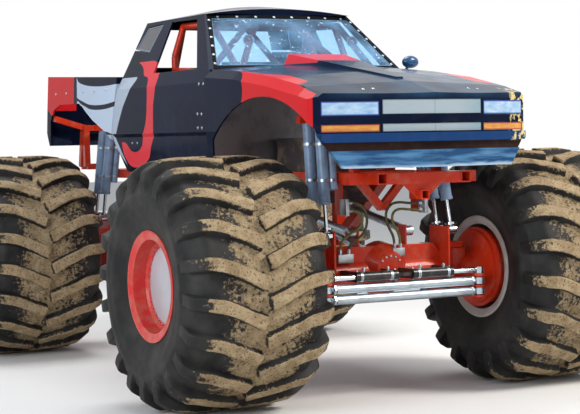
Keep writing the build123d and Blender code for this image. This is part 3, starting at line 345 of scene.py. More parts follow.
@dataclass
class Graph:
    """A material with one Principled shader, whose nodes are added by short calls."""

    name: str

    def __post_init__(self) -> None:
        """Starts the material, then has the finish shade it."""
        self.material = MATERIALS[self.name] = bpy.data.materials.new(self.name)
        self.material.use_nodes = True
        self.tree = self.material.node_tree
        self.tree.nodes.clear()
        self.shader = self.tree.nodes.new("ShaderNodeBsdfPrincipled")
        output = self.tree.nodes.new("ShaderNodeOutputMaterial")
        self.tree.links.new(self.shader.outputs[0], output.inputs[0])
        self.place = self.tree.nodes.new("ShaderNodeTexCoord").outputs["Object"]
        self.x, self.y, self.z = self.node("ShaderNodeSeparateXYZ", {0: self.place}).outputs
        self.out = self.math("ABSOLUTE", self.x)
        self.shade()

    def shade(self) -> None:
        """Sets the shader's sockets. Each finish has its own, and a plain graph none."""

    def node(self, kind: str, inputs: dict, **fields: object) -> bpy.types.Node:
        """Adds a node, sets its fields, and links or sets its inputs.

        Args:
            kind: The node's type name.
            inputs: Socket name or number to a value or to another node's output.
            fields: The node's own settings.

        Returns:
            The new node.
        """
        made = self.tree.nodes.new(kind)
        for key, value in fields.items():
            setattr(made, key, value)
        for key, value in inputs.items():
            self.put(made.inputs[key], value)
        return made

    def put(self, socket: Socket, value: object) -> None:
        """Links a node's output to the socket, or sets the socket's own value.

        Args:
            socket: The socket to feed.
            value: An output, a number, a vector or a colour.
        """
        if isinstance(value, Socket):
            self.tree.links.new(value, socket)
        elif isinstance(value, (tuple, list)) and len(value) == 3 and len(socket.default_value) == 4:
            socket.default_value = (*value, 1.0)
        else:
            socket.default_value = value

    def set(self, **values: object) -> None:
        """Sets the shader's sockets, with underscores for the spaces in their names."""
        for key, value in values.items():
            self.put(self.shader.inputs[key.replace("_", " ")], value)

    def math(self, operation: str, a: object, b: object = 0.0, c: object = 0.0) -> Socket:
        """A Math node's result."""
        return self.node("ShaderNodeMath", {0: a, 1: b, 2: c}, operation=operation).outputs[0]

    def linear(self, a: object, slope: object, rise: object) -> Socket:
        """The value a times the slope, plus the rise."""
        return self.math("MULTIPLY_ADD", a, slope, rise)

    def noise(self, scale: float, detail: float, stretch: Point = (1, 1, 1), rough: float = 0.55) -> Socket:
        """A noise value from 0 to 1 over the place, stretched along the axes."""
        spread = self.node("ShaderNodeMapping", {"Vector": self.place, "Scale": stretch}).outputs[0]
        inputs = {"Vector": spread, "Scale": scale, "Detail": detail, "Roughness": rough}
        return self.node("ShaderNodeTexNoise", inputs).outputs["Fac"]

    def span(self, value: object, low: float, high: float, start: float = 0.0, end: float = 1.0) -> Socket:
        """The value mapped from low..high to start..end, and clamped."""
        return self.node("ShaderNodeMapRange", {0: value, 1: low, 2: high, 3: start, 4: end}).outputs[0]

    def spots(self, scale: float, detail: float, low: float, high: float, start: float = 0.0,
              end: float = 1.0, stretch: Point = (1, 1, 1)) -> Socket:
        """A noise value mapped from low..high to start..end, and clamped."""
        return self.span(self.noise(scale, detail, stretch), low, high, start, end)

    def mix(self, share: object, a: object, b: object) -> Socket:
        """The colour a where share is 0 and b where it is 1, as sockets 6 and 7 of a Mix node."""
        return self.node("ShaderNodeMix", {0: share, 6: a, 7: b}, data_type="RGBA").outputs[2]

    def layers(self, colour: object, *coats: tuple[Socket, object]) -> Socket:
        """A colour with others laid over it in order, each given by its share and its colour."""
        return reduce(lambda under, coat: self.mix(coat[0], under, coat[1]), coats, colour)

    def curve(self, value: object, points: Pairs) -> Socket:
        """A smooth function of the value that passes through the points, and is level beyond them.

        Args:
            value: The function's input.
            points: Pairs of input and result.

        Returns:
            The result's output.
        """
        (x0, x1), (y0, y1) = ((min(v), max(v)) for v in zip(*points))
        made = self.node("ShaderNodeFloatCurve", {1: self.span(value, x0, x1)})
        line = made.mapping.curves[0]
        spots = [((x - x0) / (x1 - x0), (y - y0) / max(y1 - y0, 1e-6)) for x, y in sorted(points)]
        line.points[0].location, line.points[1].location = spots[0], spots[-1]
        for spot in spots[1:-1]:
            line.points.new(*spot)
        made.mapping.update()
        return self.linear(made.outputs[0], y1 - y0, y0)

    def less(self, a: object, b: object, soft: float = 0.002) -> Socket:
        """1 where a is less than b, 0 elsewhere, with an edge as wide as the softness in metres."""
        return self.span(self.math("SUBTRACT", b, a), -soft, soft)

    def between(self, low: object, value: object, high: object) -> Socket:
        """1 where the value lies between low and high."""
        return self.every(self.less(low, value), self.less(value, high))

    def band(self, u: Socket, low: Pairs, v: Socket, high: Pairs) -> Socket:
        """1 where v lies between two smooth functions of u, each given by its points."""
        return self.between(self.curve(u, low), v, self.curve(u, high))

    def every(self, *shares: object) -> Socket:
        """The least of several shares, so 1 where all of them are 1."""
        return reduce(lambda a, b: self.math("MINIMUM", a, b), shares)

    def some(self, *shares: object) -> Socket:
        """The greatest of several shares, so 1 where any of them is 1."""
        return reduce(lambda a, b: self.math("MAXIMUM", a, b), shares)

    def region(self, outline: Pairs, u: Socket, v: Socket, soft: float = 0.002) -> Socket:
        """1 inside a convex outline.

        Args:
            outline: The corners, in order, as pairs of u and v.
            u: The first coordinate's output.
            v: The second coordinate's output.
            soft: How wide the edge is, in metres.

        Returns:
            The share, 0 to 1.
        """
        edges = list(zip(outline, [*outline[1:], outline[0]]))
        turn = math.copysign(1.0, sum(a[0] * b[1] - b[0] * a[1] for a, b in edges))
        inner = []
        for a, b in edges:
            run = math.hypot(b[0] - a[0], b[1] - a[1])
            nu, nv = turn * (a[1] - b[1]) / run, turn * (b[0] - a[0]) / run
            inner.append(self.linear(u, nu, self.linear(v, nv, -(nu * a[0] + nv * a[1]))))
        return self.span(self.every(*inner), -soft, soft)

    def bump(self, height: Socket, depth: float, strength: float) -> None:
        """Bumps the shader's surface by the height, up to a depth in metres."""
        made = self.node("ShaderNodeBump", {"Height": height, "Distance": depth, "Strength": strength})
        self.set(Normal=made.outputs["Normal"])


@dataclass
class Enamel(Graph):
    """Gloss paint with uneven colour, dust in patches and a clear coat."""

    colour: Colour
    dust: float = 0.25
    rough: float = 0.28
    coat: float = 0.5
    dust_colour: Colour = (0.42, 0.31, 0.2)

    def shade(self) -> None:
        """Sets the shader's sockets."""
        patch = self.noise(3.1, 6.0)
        tone = self.mix(self.span(patch, 0.3, 0.7), toned(self.colour, 0.78), self.colour)
        self.set(
            Base_Color=self.mix(self.spots(11.0, 8.0, 0.5, 0.72, 0.0, self.dust), tone, self.dust_colour),
            Roughness=self.span(patch, 0.25, 0.8, self.rough, self.rough + 0.22),
            Specular_IOR_Level=0.2, Coat_Weight=self.coat, Coat_Roughness=0.08, Coat_IOR=1.35,
        )
        self.bump(self.noise(55.0, 3.0), 0.0006, 0.35)


@dataclass
class Metal(Graph):
    """Bare metal with fine scratches along one axis."""

    colour: Colour
    rough: float = 0.25
    grain: Point = (1.0, 1.0, 1.0)
    grime: float = 0.15
    grime_colour: Colour = (0.12, 0.09, 0.06)

    def shade(self) -> None:
        """Sets the shader's sockets."""
        scratch = self.noise(120.0, 5.0, self.grain)
        tone = self.mix(self.span(scratch, 0.35, 0.65), toned(self.colour, 0.82), self.colour)
        self.set(
            Base_Color=self.mix(self.spots(9.0, 7.0, 0.52, 0.75, 0.0, self.grime), tone, self.grime_colour),
            Metallic=1.0,
            Roughness=self.span(scratch, 0.3, 0.7, self.rough, self.rough + 0.12),
        )
        self.bump(scratch, 0.0002, 0.3)


@dataclass
class Moulded(Graph):
    """Plastic, rubber or cloth with a fine grain."""

    colour: Colour
    second: Colour
    rough: float = 0.6
    scale: float = 60.0
    depth: float = 0.0006
    sheen: float = 0.0

    def shade(self) -> None:
        """Sets the shader's sockets."""
        grain = self.noise(self.scale, 5.0)
        self.set(
            Base_Color=self.mix(self.span(grain, 0.35, 0.7), self.colour, self.second),
            Roughness=self.span(grain, 0.3, 0.7, self.rough, min(1.0, self.rough + 0.15)),
            Sheen_Weight=self.sheen,
        )
        self.bump(grain, self.depth, 0.6)


@dataclass
class MuddyRubber(Graph):
    """Black tyre rubber with tan mud dried on the faces of the lugs."""

    rubber: Colour = (0.009, 0.009, 0.0095)
    worn: Colour = (0.034, 0.032, 0.03)
    mud: Colour = (0.235, 0.165, 0.092)
    pale_mud: Colour = (0.4, 0.305, 0.185)
    wet_mud: Colour = (0.07, 0.045, 0.02)

    def shade(self) -> None:
        """Sets the shader's sockets. The mesh's attribute "mud" says how much mud a place holds."""
        held = self.node("ShaderNodeAttribute", {}, attribute_name="mud").outputs["Fac"]
        speckle = self.noise(42.0, 6.0, rough=0.7)
        share = self.math("ADD", held, self.linear(speckle, 1.5, -0.8))
        share = self.math("ADD", share, self.linear(self.noise(5.0, 5.0), 0.9, -0.45))
        cover = self.span(share, 0.44, 0.6)
        dirt = self.mix(self.spots(14.0, 6.0, 0.35, 0.7), self.mud, self.pale_mud)
        bare = self.mix(self.spots(7.0, 8.0, 0.4, 0.75), self.rubber, self.worn)
        pitted = self.mix(self.spots(75.0, 3.0, 0.56, 0.64, 0.0, 0.75), dirt, self.wet_mud)
        self.set(
            Base_Color=self.mix(cover, bare, pitted),
            Roughness=self.span(cover, 0.0, 1.0, 0.58, 0.95),
            Specular_IOR_Level=0.22,
        )
        self.bump(self.math("ADD", speckle, cover), 0.003, 0.5)


@dataclass
class Livery(Graph):
    """Gloss body paint with swept stripes. Outlines are pairs of two coordinates, the same on both sides."""

    base: Colour = (0.0022, 0.005, 0.016)
    blue: Colour = (0.01, 0.04, 0.13)
    red: Colour = (0.6, 0.018, 0.022)
    pink: Colour = (0.66, 0.045, 0.06)
    pale: Colour = (0.5, 0.6, 0.74)
    silver: Colour = (0.4, 0.46, 0.55)
    # Painted shade for the gap under the bumper bar
    recess: Colour = (0.03, 0.014, 0.01)
    primer: Colour = (0.62, 0.5, 0.22)
    dust: Colour = (0.4, 0.31, 0.21)

    def stripes(self, ground: Socket) -> Socket:
        """The ground colour with this moulding's stripes over it."""
        return ground

    def shade(self) -> None:
        """Sets the shader's sockets."""
        ground = self.mix(self.spots(1.7, 3.0, 0.35, 0.7), self.base, toned(self.base, 1.8))
        low = self.span(self.z, 2.15, 1.55, 0.0, 0.04)
        dust = self.math("MULTIPLY", self.spots(13.0, 8.0, 0.5, 0.74), low)
        self.set(
            Base_Color=self.mix(dust, self.stripes(ground), self.dust),
            Roughness=self.spots(5.0, 6.0, 0.3, 0.75, 0.12, 0.28),
            Specular_IOR_Level=0.02, Specular_Tint=(0.3, 0.45, 1.0),
            Coat_Weight=0.2, Coat_Roughness=0.05, Coat_IOR=1.28,
        )
        self.bump(self.noise(2.3, 3.0), 0.004, 0.25)


@dataclass
class SidePaint(Livery):
    """The paint of the cab and the bed."""

    def stripes(self, ground: Socket) -> Socket:
        """The ground colour with the flanks' stripes over it.

        Args:
            ground: The colour below the stripes.

        Returns:
            The painted colour.
        """
        y, z = self.y, self.z
        seam = self.linear(z, -0.299, 1.344)
        bed = self.between(seam, y, 1.545)
        swoosh = self.band(y, ((0.78, 1.84), (0.9, 1.862), (1.117, 1.879), (1.259, 1.976), (1.44, 2.085)),
                           z, ((0.703, 2.241), (1.031, 2.235), (1.371, 2.258), (1.535, 2.32)))
        dark = self.band(y, ((0.714, 2.066), (1.127, 2.045), (1.382, 2.083), (1.511, 2.126)),
                         z, ((0.712, 2.104), (1.125, 2.084), (1.423, 2.124), (1.574, 2.177)))
        corner = self.region(((1.6, 2.45), (2.3, 2.45), (2.4, 2.155), (2.163, 2.019), (1.624, 2.095)), y, z)
        ahead = self.curve(z, ((1.835, 0.708), (1.986, 0.6), (2.135, 0.473), (2.263, 0.35)))
        stripe = self.every(self.between(ahead, y, seam), self.between(1.842, z, 2.284))
        tip = self.region(((0.775, 1.836), (0.9, 1.836), (0.534, 1.59)), y, z)
        hook = self.band(z, ((1.827, -0.036), (1.973, -0.044), (2.293, -0.062), (2.355, 0.008),
                             (2.403, 0.153)),
                         y, ((1.829, 0.167), (1.976, 0.084), (2.123, 0.076), (2.26, 0.123), (2.29, 0.225),
                             (2.35, 0.3), (2.395, 0.42)))
        foot = self.band(y, ((-0.036, 1.835), (0.05, 1.74), (0.11, 1.64), (0.39, 1.575), (0.542, 1.63),
                             (0.625, 1.765)),
                         z, ((-0.036, 1.838), (0.167, 1.838), (0.228, 1.741), (0.383, 1.696), (0.573, 1.773),
                             (0.625, 1.775)))
        flank = self.less(0.6, self.out)
        coats = (
            (self.every(bed, swoosh), self.pale),
            (self.every(bed, dark), self.base),
            (corner, self.red),
            (self.some(stripe, tip), self.silver),
            (self.some(self.every(hook, self.between(1.838, z, 2.402)),
                       self.every(foot, self.between(-0.036, y, 0.625))), self.pink),
        )
        return self.layers(ground, *((self.every(flank, share), colour) for share, colour in coats))


@dataclass
class NosePaint(Livery):
    """The paint of the front clip: red fenders, blue bumper bar, pale valance, a worn corner, a painted sky
    reflection on the hood and painted shade under the bar.
    """

    def stripes(self, ground: Socket) -> Socket:
        """The ground colour with the clip's fields over it.

        Args:
            ground: The colour below the fields.

        Returns:
            The painted colour.
        """
        out, y, z = self.out, self.y, self.z
        top = self.curve(y, ((-2.62, 1.99), (-2.54, 2.04), (-2.4, 2.085), (-1.955, 2.194), (-1.674, 2.225),
                             (-1.351, 2.262)))
        back = self.curve(z, ((2.02, -1.549), (2.138, -1.569), (2.205, -1.528), (2.258, -1.351)))
        fender = self.every(self.less(0.66, out), self.between(1.8, z, top), self.between(-2.49, y, back))
        scoop = self.every(self.less(out, 0.3), self.less(-1.42, y), self.less(2.315, z))
        bar = self.every(self.less(y, -2.475), self.between(1.743, z, 1.804))
        # Painted shade: the band between the bumper bar and the valance is painted dark brown for the shadow
        # in the gap behind the bar.
        shaded_gap = self.every(self.less(y, -2.4), self.between(1.691, z, 1.743))
        valance = self.every(self.less(y, -2.47), self.less(z, 1.691))
        worn = self.every(self.spots(26.0, 6.0, 0.5, 0.56), self.less(0.66, self.x, 0.02),
                          self.less(y, -2.42, 0.02), self.less(1.74, z))
        rise = self.math("ADD", z, self.linear(self.noise(5.0, 4.0, (1.0, 1.0, 4.0)), 0.05, -0.025))
        wave = self.spots(3.0, 5.0, 0.42, 0.64, stretch=(1.0, 1.0, 9.0))
        sheet = self.mix(wave, (0.016, 0.06, 0.15), (0.075, 0.19, 0.34))
        # Painted sky reflection: the hood's top, |X| under 0.8 m and above 2.035 m, is painted lighter navy
        # with pale-blue streaks for the sky it reflects.
        sky_streaks = self.spots(2.2, 4.0, 0.38, 0.68, stretch=(1.0, 0.35, 1.0))
        sky_lit_deck = self.every(self.less(out, 0.8), self.less(2.035, z, 0.02))
        return self.layers(
            ground,
            (sky_lit_deck, self.mix(sky_streaks, (0.0045, 0.013, 0.034), (0.022, 0.062, 0.12))),
            (fender, self.red),
            (scoop, self.pink),
            (bar, self.blue),
            (shaded_gap, self.recess),
            (valance, self.mix(self.span(rise, 1.586, 1.604), (0.3, 0.42, 0.56), sheet)),
            (worn, self.primer),
        )


@dataclass
class LampSheet(Graph):
    """A lamp or a grille drawn on a smooth sheet: two tones that mottle, and a border.

    The outline, in pairs of |X| and Z, is where the border ends.
    """

    first: Colour
    second: Colour
    border: Colour
    outline: Pairs
    slant: float = 0.0

    def shade(self) -> None:
        """Sets the shader's sockets."""
        blotch = self.noise(16.0, 5.0, (1.0, 1.0, 2.0))
        across = self.linear(blotch, 1.0 - abs(self.slant), self.linear(self.x, self.slant, 0.5))
        tone = self.mix(self.span(across, 0.7, 1.25), self.first, self.second)
        self.set(
            Base_Color=self.mix(self.region(self.outline, self.out, self.z, 0.004), self.border, tone),
            Roughness=self.spots(7.0, 5.0, 0.3, 0.7, 0.12, 0.25),
            Specular_IOR_Level=0.25, Coat_Weight=0.4, Coat_Roughness=0.05, Coat_IOR=1.35,
        )


@dataclass
class WheelPaint(Graph):
    """A rim's paint: bright outside, where the dish is, and dusty grey-white inside."""

    dish: Colour = (0.55, 0.02, 0.018)
    barrel: Colour = (0.5, 0.49, 0.47)
    dust: Colour = (0.33, 0.24, 0.15)
    white_radius: float = 0.25

    def shade(self) -> None:
        """Sets the shader's sockets."""
        along = self.math("SUBTRACT", self.math("ABSOLUTE", self.y), AXLE_PLACE)
        height = self.math("SUBTRACT", self.z, AXLE_HEIGHT)
        radius = self.math("SQRT", self.linear(along, along, self.math("MULTIPLY", height, height)))
        outer = self.every(self.less(WHEEL_OUT, self.out), self.less(self.white_radius, radius))
        inner = self.mix(self.spots(3.0, 4.0, 0.3, 0.7), self.barrel, toned(self.barrel, 0.7))
        painted = self.mix(outer, inner, self.dish)
        self.set(
            Base_Color=self.mix(self.spots(12.0, 7.0, 0.42, 0.72, 0.0, 0.45), painted, self.dust),
            Roughness=self.spots(9.0, 5.0, 0.3, 0.75, 0.25, 0.5),
            Specular_IOR_Level=0.3, Coat_Weight=0.3, Coat_Roughness=0.1, Coat_IOR=1.35,
        )


@dataclass
class ClearSheet(Graph):
    """The windscreen: a clear pane with haze and specks, inside a black border."""

    pane: Pairs = ((-0.736, 2.318), (0.736, 2.318), (0.58, 2.682), (-0.58, 2.682))
    border: Colour = (0.008, 0.008, 0.01)

    def shade(self) -> None:
        """Sets the shader's sockets."""
        clear = self.region(self.pane, self.x, self.z, 0.003)
        haze = self.linear(self.spots(4.0, 6.0, 0.35, 0.75), 0.24, 0.06)
        film = self.some(self.spots(34.0, 2.0, 0.66, 0.7, 0.0, 0.55), haze)
        tone = self.mix(self.span(film, 0.3, 0.6), (0.4, 0.66, 0.93), (0.86, 0.93, 0.98))
        self.set(
            Base_Color=self.mix(clear, self.border, tone),
            Roughness=self.span(film, 0.1, 0.6, 0.02, 0.12),
            Transmission_Weight=self.math("MULTIPLY", clear, self.math("SUBTRACT", 1.0, film)),
            IOR=1.05,
            Specular_IOR_Level=0.5,
        )


def finishes() -> None:
    """Makes every finish, with one for each slot of the record."""
    made = (
        SidePaint("body_paint"),
        NosePaint("nose_paint"),
        ClearSheet("glazing"),
        MuddyRubber("tyre"),
        WheelPaint("wheel_grey"),
        Enamel("chassis_red", (0.62, 0.034, 0.008), dust=0.2, coat=0.35),
        Enamel("hub_silver", (0.5, 0.49, 0.53), dust=0.12, rough=0.35),
        Enamel("black_steel", (0.012, 0.013, 0.016), dust=0.15),
        Enamel("shock_silver", (0.22, 0.32, 0.47), 0.5, 0.3, 0.5, (0.035, 0.03, 0.03)),
        Enamel("engine", (0.06, 0.05, 0.05), dust=0.4, rough=0.5, coat=0.0),
        Enamel("mirror_blue", (0.014, 0.075, 0.19), dust=0.05, rough=0.12, coat=0.8),
        Enamel("dark_glass", (0.01, 0.016, 0.028), dust=0.05, rough=0.1, coat=0.6),
        Metal("steel", (0.47, 0.54, 0.6), 0.3, (0.1, 1.0, 1.0), 0.4),
        Metal("chrome", (0.66, 0.69, 0.73), 0.1, (1.0, 1.0, 0.1)),
        Metal("aluminium", (0.46, 0.47, 0.49), 0.38, grime=0.5),
        Moulded("black_plastic", (0.015, 0.015, 0.016), (0.03, 0.03, 0.032)),
        Moulded("seat_cloth", (0.012, 0.012, 0.014), (0.03, 0.03, 0.035), 0.85, 160.0, 0.001, 0.3),
        Moulded("hose", (0.07, 0.062, 0.01), (0.03, 0.027, 0.01), 0.45),
        Moulded("hose_lime", (0.155, 0.135, 0.012), (0.075, 0.062, 0.01), 0.42),
        Moulded("belt", (0.32, 0.012, 0.016), (0.2, 0.008, 0.01), 0.8, 220.0, 0.0006, 0.3),
        Moulded("dial", (0.7, 0.7, 0.66), (0.6, 0.6, 0.57), 0.4),
        LampSheet("grille", (0.3, 0.36, 0.4), (0.05, 0.22, 0.26), (0.02, 0.03, 0.05),
                  ((0, 1.8), (0.38, 1.8), (0.38, 2.03), (0, 2.03)), 0.9),
        LampSheet("headlamp", (0.15, 0.3, 0.52), (0.46, 0.6, 0.72), (0.01, 0.045, 0.3),
                  ((0.413, 1.925), (0.413, 2.001), (0.777, 2.001), (0.777, 1.925))),
        LampSheet("turn_lamp", (0.5, 0.115, 0.035), (0.72, 0.4, 0.07), (0.4, 0.05, 0.05),
                  ((0.41, 1.819), (0.41, 1.853), (0.778, 1.853), (0.778, 1.819))),
    )
    log.info("%d finishes", len(made))


def dress() -> None:
    """Gives every CAD node the material of its slot."""
    for row in frame["record"]["subparts"]:
        mesh = NODES[row["node"]].data
        mesh.materials.clear()
        slot = "nose_paint" if row["node"] == "front_clip" else row["material_slot"]
        mesh.materials.append(MATERIALS[slot])


# The studio


@dataclass(frozen=True)
class Studio:
    """The camera at the photograph's viewpoint, soft lights, a pale floor and backdrop."""

    eye: Point = (-6.1698, -12.1538, 1.7768)
    heading: float = 0.4914
    pitch: float = -0.0396
    roll: float = -0.0194
    focal_px: float = 1723.0
    image_width: float = 580.0
    sensor_width: float = 36.0
    floor_half: float = 60.0
    target: Point = (0.0, 0.0, 1.2)

    def camera(self) -> None:
        """Makes the camera. Its view runs along (sin h cos p, cos h cos p, sin p), rolled about itself."""
        data = bpy.data.cameras.new("camera")
        data.sensor_width = self.sensor_width
        data.lens = self.focal_px * data.sensor_width / self.image_width
        sine, cosine, level_share = math.sin(self.heading), math.cos(self.heading), math.cos(self.pitch)
        forward = Vector((sine * level_share, cosine * level_share, math.sin(self.pitch)))
        level = Vector((cosine, -sine, 0.0))
        over = level.cross(forward)
        right = math.cos(self.roll) * level + math.sin(self.roll) * over
        up = -math.sin(self.roll) * level + math.cos(self.roll) * over
        made = placed("camera", data)
        made.matrix_world = Matrix((*zip(right, up, -forward, self.eye), (0, 0, 0, 1)))
        bpy.context.scene.camera = made

    def light(self, name: str, place: Point, size: float, power: float, colour: Colour) -> None:
        """Makes one soft square lamp that faces the truck.

        Args:
            name: The lamp's name.
            place: Where it stands.
            size: Its side in metres.
            power: Its power in watts.
            colour: Its colour.
        """
        data = bpy.data.lights.new(name, "AREA")
        data.size = size
        data.energy = power
        data.color = colour
        lamp = placed(name, data)
        lamp.location = place
        lamp.rotation_euler = (Vector(self.target) - Vector(place)).to_track_quat("-Z", "Y").to_euler()

    def world(self) -> None:
        """Makes a world that looks white to the camera and in reflections, and lights softly."""
        world = bpy.data.worlds.new("studio")
        bpy.context.scene.world = world
        world.use_nodes = True
        nodes, link = world.node_tree.nodes, world.node_tree.links.new
        nodes.clear()
        rays = nodes.new("ShaderNodeLightPath").outputs
        seen = rays["Is Camera Ray"]
        for kind in ("Is Glossy Ray", "Is Transmission Ray"):
            either = nodes.new("ShaderNodeMath")
            either.operation = "MAXIMUM"
            link(seen, either.inputs[0])
            link(rays[kind], either.inputs[1])
            seen = either.outputs[0]
        blend = nodes.new("ShaderNodeMixShader")
        link(seen, blend.inputs[0])
        for socket, colour, strength in ((1, (0.86, 0.92, 1.0, 1.0), 0.45), (2, (1.0, 1.0, 1.0, 1.0), 1.0)):
            sky = nodes.new("ShaderNodeBackground")
            sky.inputs[0].default_value = colour
            sky.inputs[1].default_value = strength
            link(sky.outputs[0], blend.inputs[socket])
        link(blend.outputs[0], nodes.new("ShaderNodeOutputWorld").inputs[0])

    def floor(self) -> None:
        """Makes the plain pale floor."""
        mesh = bpy.data.meshes.new("floor")
        h = self.floor_half
        mesh.from_pydata([(-h, -h, 0), (h, -h, 0), (h, h, 0), (-h, h, 0)], [], [(0, 1, 2, 3)])
        graph = Graph("floor")
        tone = graph.mix(graph.noise(1.5, 3.0), (0.8, 0.79, 0.77), (0.84, 0.83, 0.81))
        graph.set(Base_Color=tone, Roughness=0.9)
        mesh.materials.append(graph.material)
        placed("floor", mesh)

    def build(self) -> None:
        """Makes the camera, lamps, world and floor."""
        bpy.context.scene.view_settings.view_transform = "Standard"
        self.camera()
        self.world()
        self.floor()
        self.light("key", (7.0, -9.0, 9.0), 4.0, 1500.0, (1.0, 0.96, 0.9))
        self.light("fill", (-10.0, -6.0, 5.0), 6.0, 700.0, (0.9, 0.95, 1.0))
        self.light("top", (0.0, 2.0, 9.0), 5.0, 500.0, (1.0, 1.0, 1.0))


# The wheels


def wheel_centre(end: End, side: Side) -> Array:
    """The centre of one wheel."""
    return np.array([WHEEL_OUT * side.value, AXLE_PLACE * end.value, AXLE_HEIGHT])


@dataclass(frozen=True)
class Tyre:
    """A flotation tyre: a carcass turned about X, with a row of slanted lugs raised from each half.

    A point lies at (out, r sin a, r cos a) from the wheel's centre. Along a section the station t runs from
    the tread's middle to the bead. Where the share h is 0 the point is on the carcass, and where it is 1 it
    is on the lugs' tops.
    """

    end: End
    side: Side
    radius: float = 0.838
    half_width: float = 0.515
    lug_count: int = 20
    wear: float = 0.003
    wobble: float = 0.0016

    # Columns: station, carcass out, carcass radius, lug top out, lug top radius
    stations: tuple[tuple[float, ...], ...] = (
        (0.000, 0.000, 0.783, 0.000, 0.838),
        (0.250, 0.250, 0.783, 0.250, 0.838),
        (0.395, 0.390, 0.768, 0.400, 0.820),
        (0.500, 0.478, 0.688, 0.505, 0.750),
        (0.585, 0.487, 0.664, 0.515, 0.668),
        (0.650, 0.507, 0.610, 0.507, 0.610),
        (0.700, 0.514, 0.588, 0.514, 0.588),
        (0.800, 0.498, 0.490, 0.498, 0.490),
        (0.900, 0.459, 0.395, 0.459, 0.395),
        (0.950, 0.445, 0.352, 0.445, 0.352),
        (0.980, 0.437, 0.321, 0.437, 0.321),
    )
    # Lug's middle line. Columns: station, distance round the tread
    sweep: Pairs = ((0.0, -0.086), (0.29, 0.046), (0.33, 0.055), (0.6, 0.083))
    # Across a lug. Columns: distance round the tread from its middle line, share of its height
    flanks: Pairs = (
        (-0.105, 0), (-0.08, 0), (-0.064, 0), (-0.056, 0), (-0.05, 0.3), (-0.0455, 0.86), (-0.041, 0.975),
        (-0.034, 1), (-0.018, 1), (0, 1), (0.018, 1), (0.034, 1), (0.041, 0.975), (0.0455, 0.86),
        (0.05, 0.3), (0.056, 0), (0.064, 0), (0.08, 0), (0.105, 0), (0.1316, 0),
    )

    def rows(self) -> Array:
        """The stations at which the surface has a row of points."""
        return np.concatenate([
            [0, 0.006, 0.009, 0.012, 0.016, 0.022], np.linspace(0.04, 0.24, 8), np.linspace(0.262, 0.52, 14),
            np.linspace(0.545, 0.65, 6), np.linspace(0.665, 0.98, 14),
        ])

    def half(self, mirror: int) -> tuple[Array, Array]:
        """One half of the tyre about the origin.

        Args:
            mirror: The sign of X.

        Returns:
            The points as an array of rows by columns by 3, and how much mud each holds.
        """
        outboard = mirror == self.side.value
        # Each half of each tyre has a seed of its own
        rng = np.random.default_rng(20 + mirror + 5 * self.end.value + 9 * self.side.value)
        t = self.rows()[:, None]
        offset, share = (np.tile(v, self.lug_count)[None, :] for v in np.array(self.flanks).T)
        lug = np.repeat(np.arange(self.lug_count), len(self.flanks))[None, :]
        # The section's corners are rounded by the mean of three stations close together
        station, *columns = np.array(self.stations).T
        blur = np.array([-0.014, 0.0, 0.014])
        spots = np.clip(t[..., None] + blur * (t[..., None] > 0.02), 0, 0.98)
        out_low, radius_low, out_top, radius_top = (np.interp(spots, station, v).mean(-1) for v in columns)
        worn = rng.uniform(0, self.wear, self.lug_count)[lug]
        phase = rng.uniform(0, 2 * math.pi, self.lug_count)[lug]
        # The share h, which ends at the tread's middle and at the shoulder
        h = share * smoothstep(0.006, 0.013, t) * (1 - smoothstep(0.635, 0.65, t))
        near_middle = smoothstep(0.0, 0.012, t) * (1 - smoothstep(0.03, 0.15, t))
        slant = near_middle * -0.4 * np.clip(offset, -0.05, 0.02)
        # The angle: the lug's own place, its middle line, the place across it and an uneven edge
        pitch = 2 * math.pi / self.lug_count
        middle = np.interp(t[..., None] + 1.5 * blur, *np.array(self.sweep).T).mean(-1)
        wobble = self.wobble * np.sin(31.0 * t + phase) * (share > 0.2)
        turn = (middle + offset + wobble) / self.radius + (lug + (0.0 if mirror > 0 else 0.5)) * pitch
        # Two ribs round the sidewall, and crumbled mud on the lugs
        rib = 0.004 * np.exp(-((t - 0.79) / 0.008) ** 2) + 0.003 * np.exp(-((t - 0.9) / 0.006) ** 2)
        crumb = 0.0015 * np.sin(53.0 * turn + 41.0 * t) * np.sin(67.0 * t + 3.0) * smoothstep(0.02, 0.05, t)
        radius = radius_low + (radius_top - radius_low - worn) * h + rib * 0.3 - np.abs(crumb) * h
        out = out_low + (out_top - out_low) * h + slant + np.minimum(rib, self.half_width - out_low)
        points = np.stack([mirror * out, radius * np.sin(turn), radius * np.cos(turn)], -1)
        # Mud lies on the lugs' tops and less between them, least on their flanks and the sidewall
        top = np.interp(t, (0.3, 0.42, 0.6), (0.86, 0.42 if outboard else 0.7, 0.16))
        floor = np.interp(t, (0.1, 0.3, 0.42), (0.72, 0.3 if outboard else 0.55, 0.06))
        rim_edge = 0.22 * (np.abs(offset) > 0.033) * (share > 0.9) * (t < 0.42)
        mud = top * h + floor * (1 - h) + rim_edge - 2.6 * h * (1 - h)
        return points, np.where(t > 0.62, 0.02, np.clip(mud, 0.0, 1.0))

    def build(self) -> None:
        """Makes the tyre in place of its CAD node."""
        corner = f"{self.end.word}_{self.side.letter}"
        surface = Surface()
        mud = []
        for mirror in (-1, 1):
            points, held = self.half(mirror)
            surface.grid((points + wheel_centre(self.end, self.side))[:, ::mirror], wrap_v=True)
            mud.append(held[:, ::mirror].ravel())
        piece = surface.build(f"tyre_skin_{corner}", ["tyre"], "tyre", f"wheel_{corner}", 48)
        layer = piece.data.attributes.new("mud", "FLOAT", "POINT")
        layer.data.foreach_set("value", np.concatenate(mud))
        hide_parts(f"tyre_{corner}")


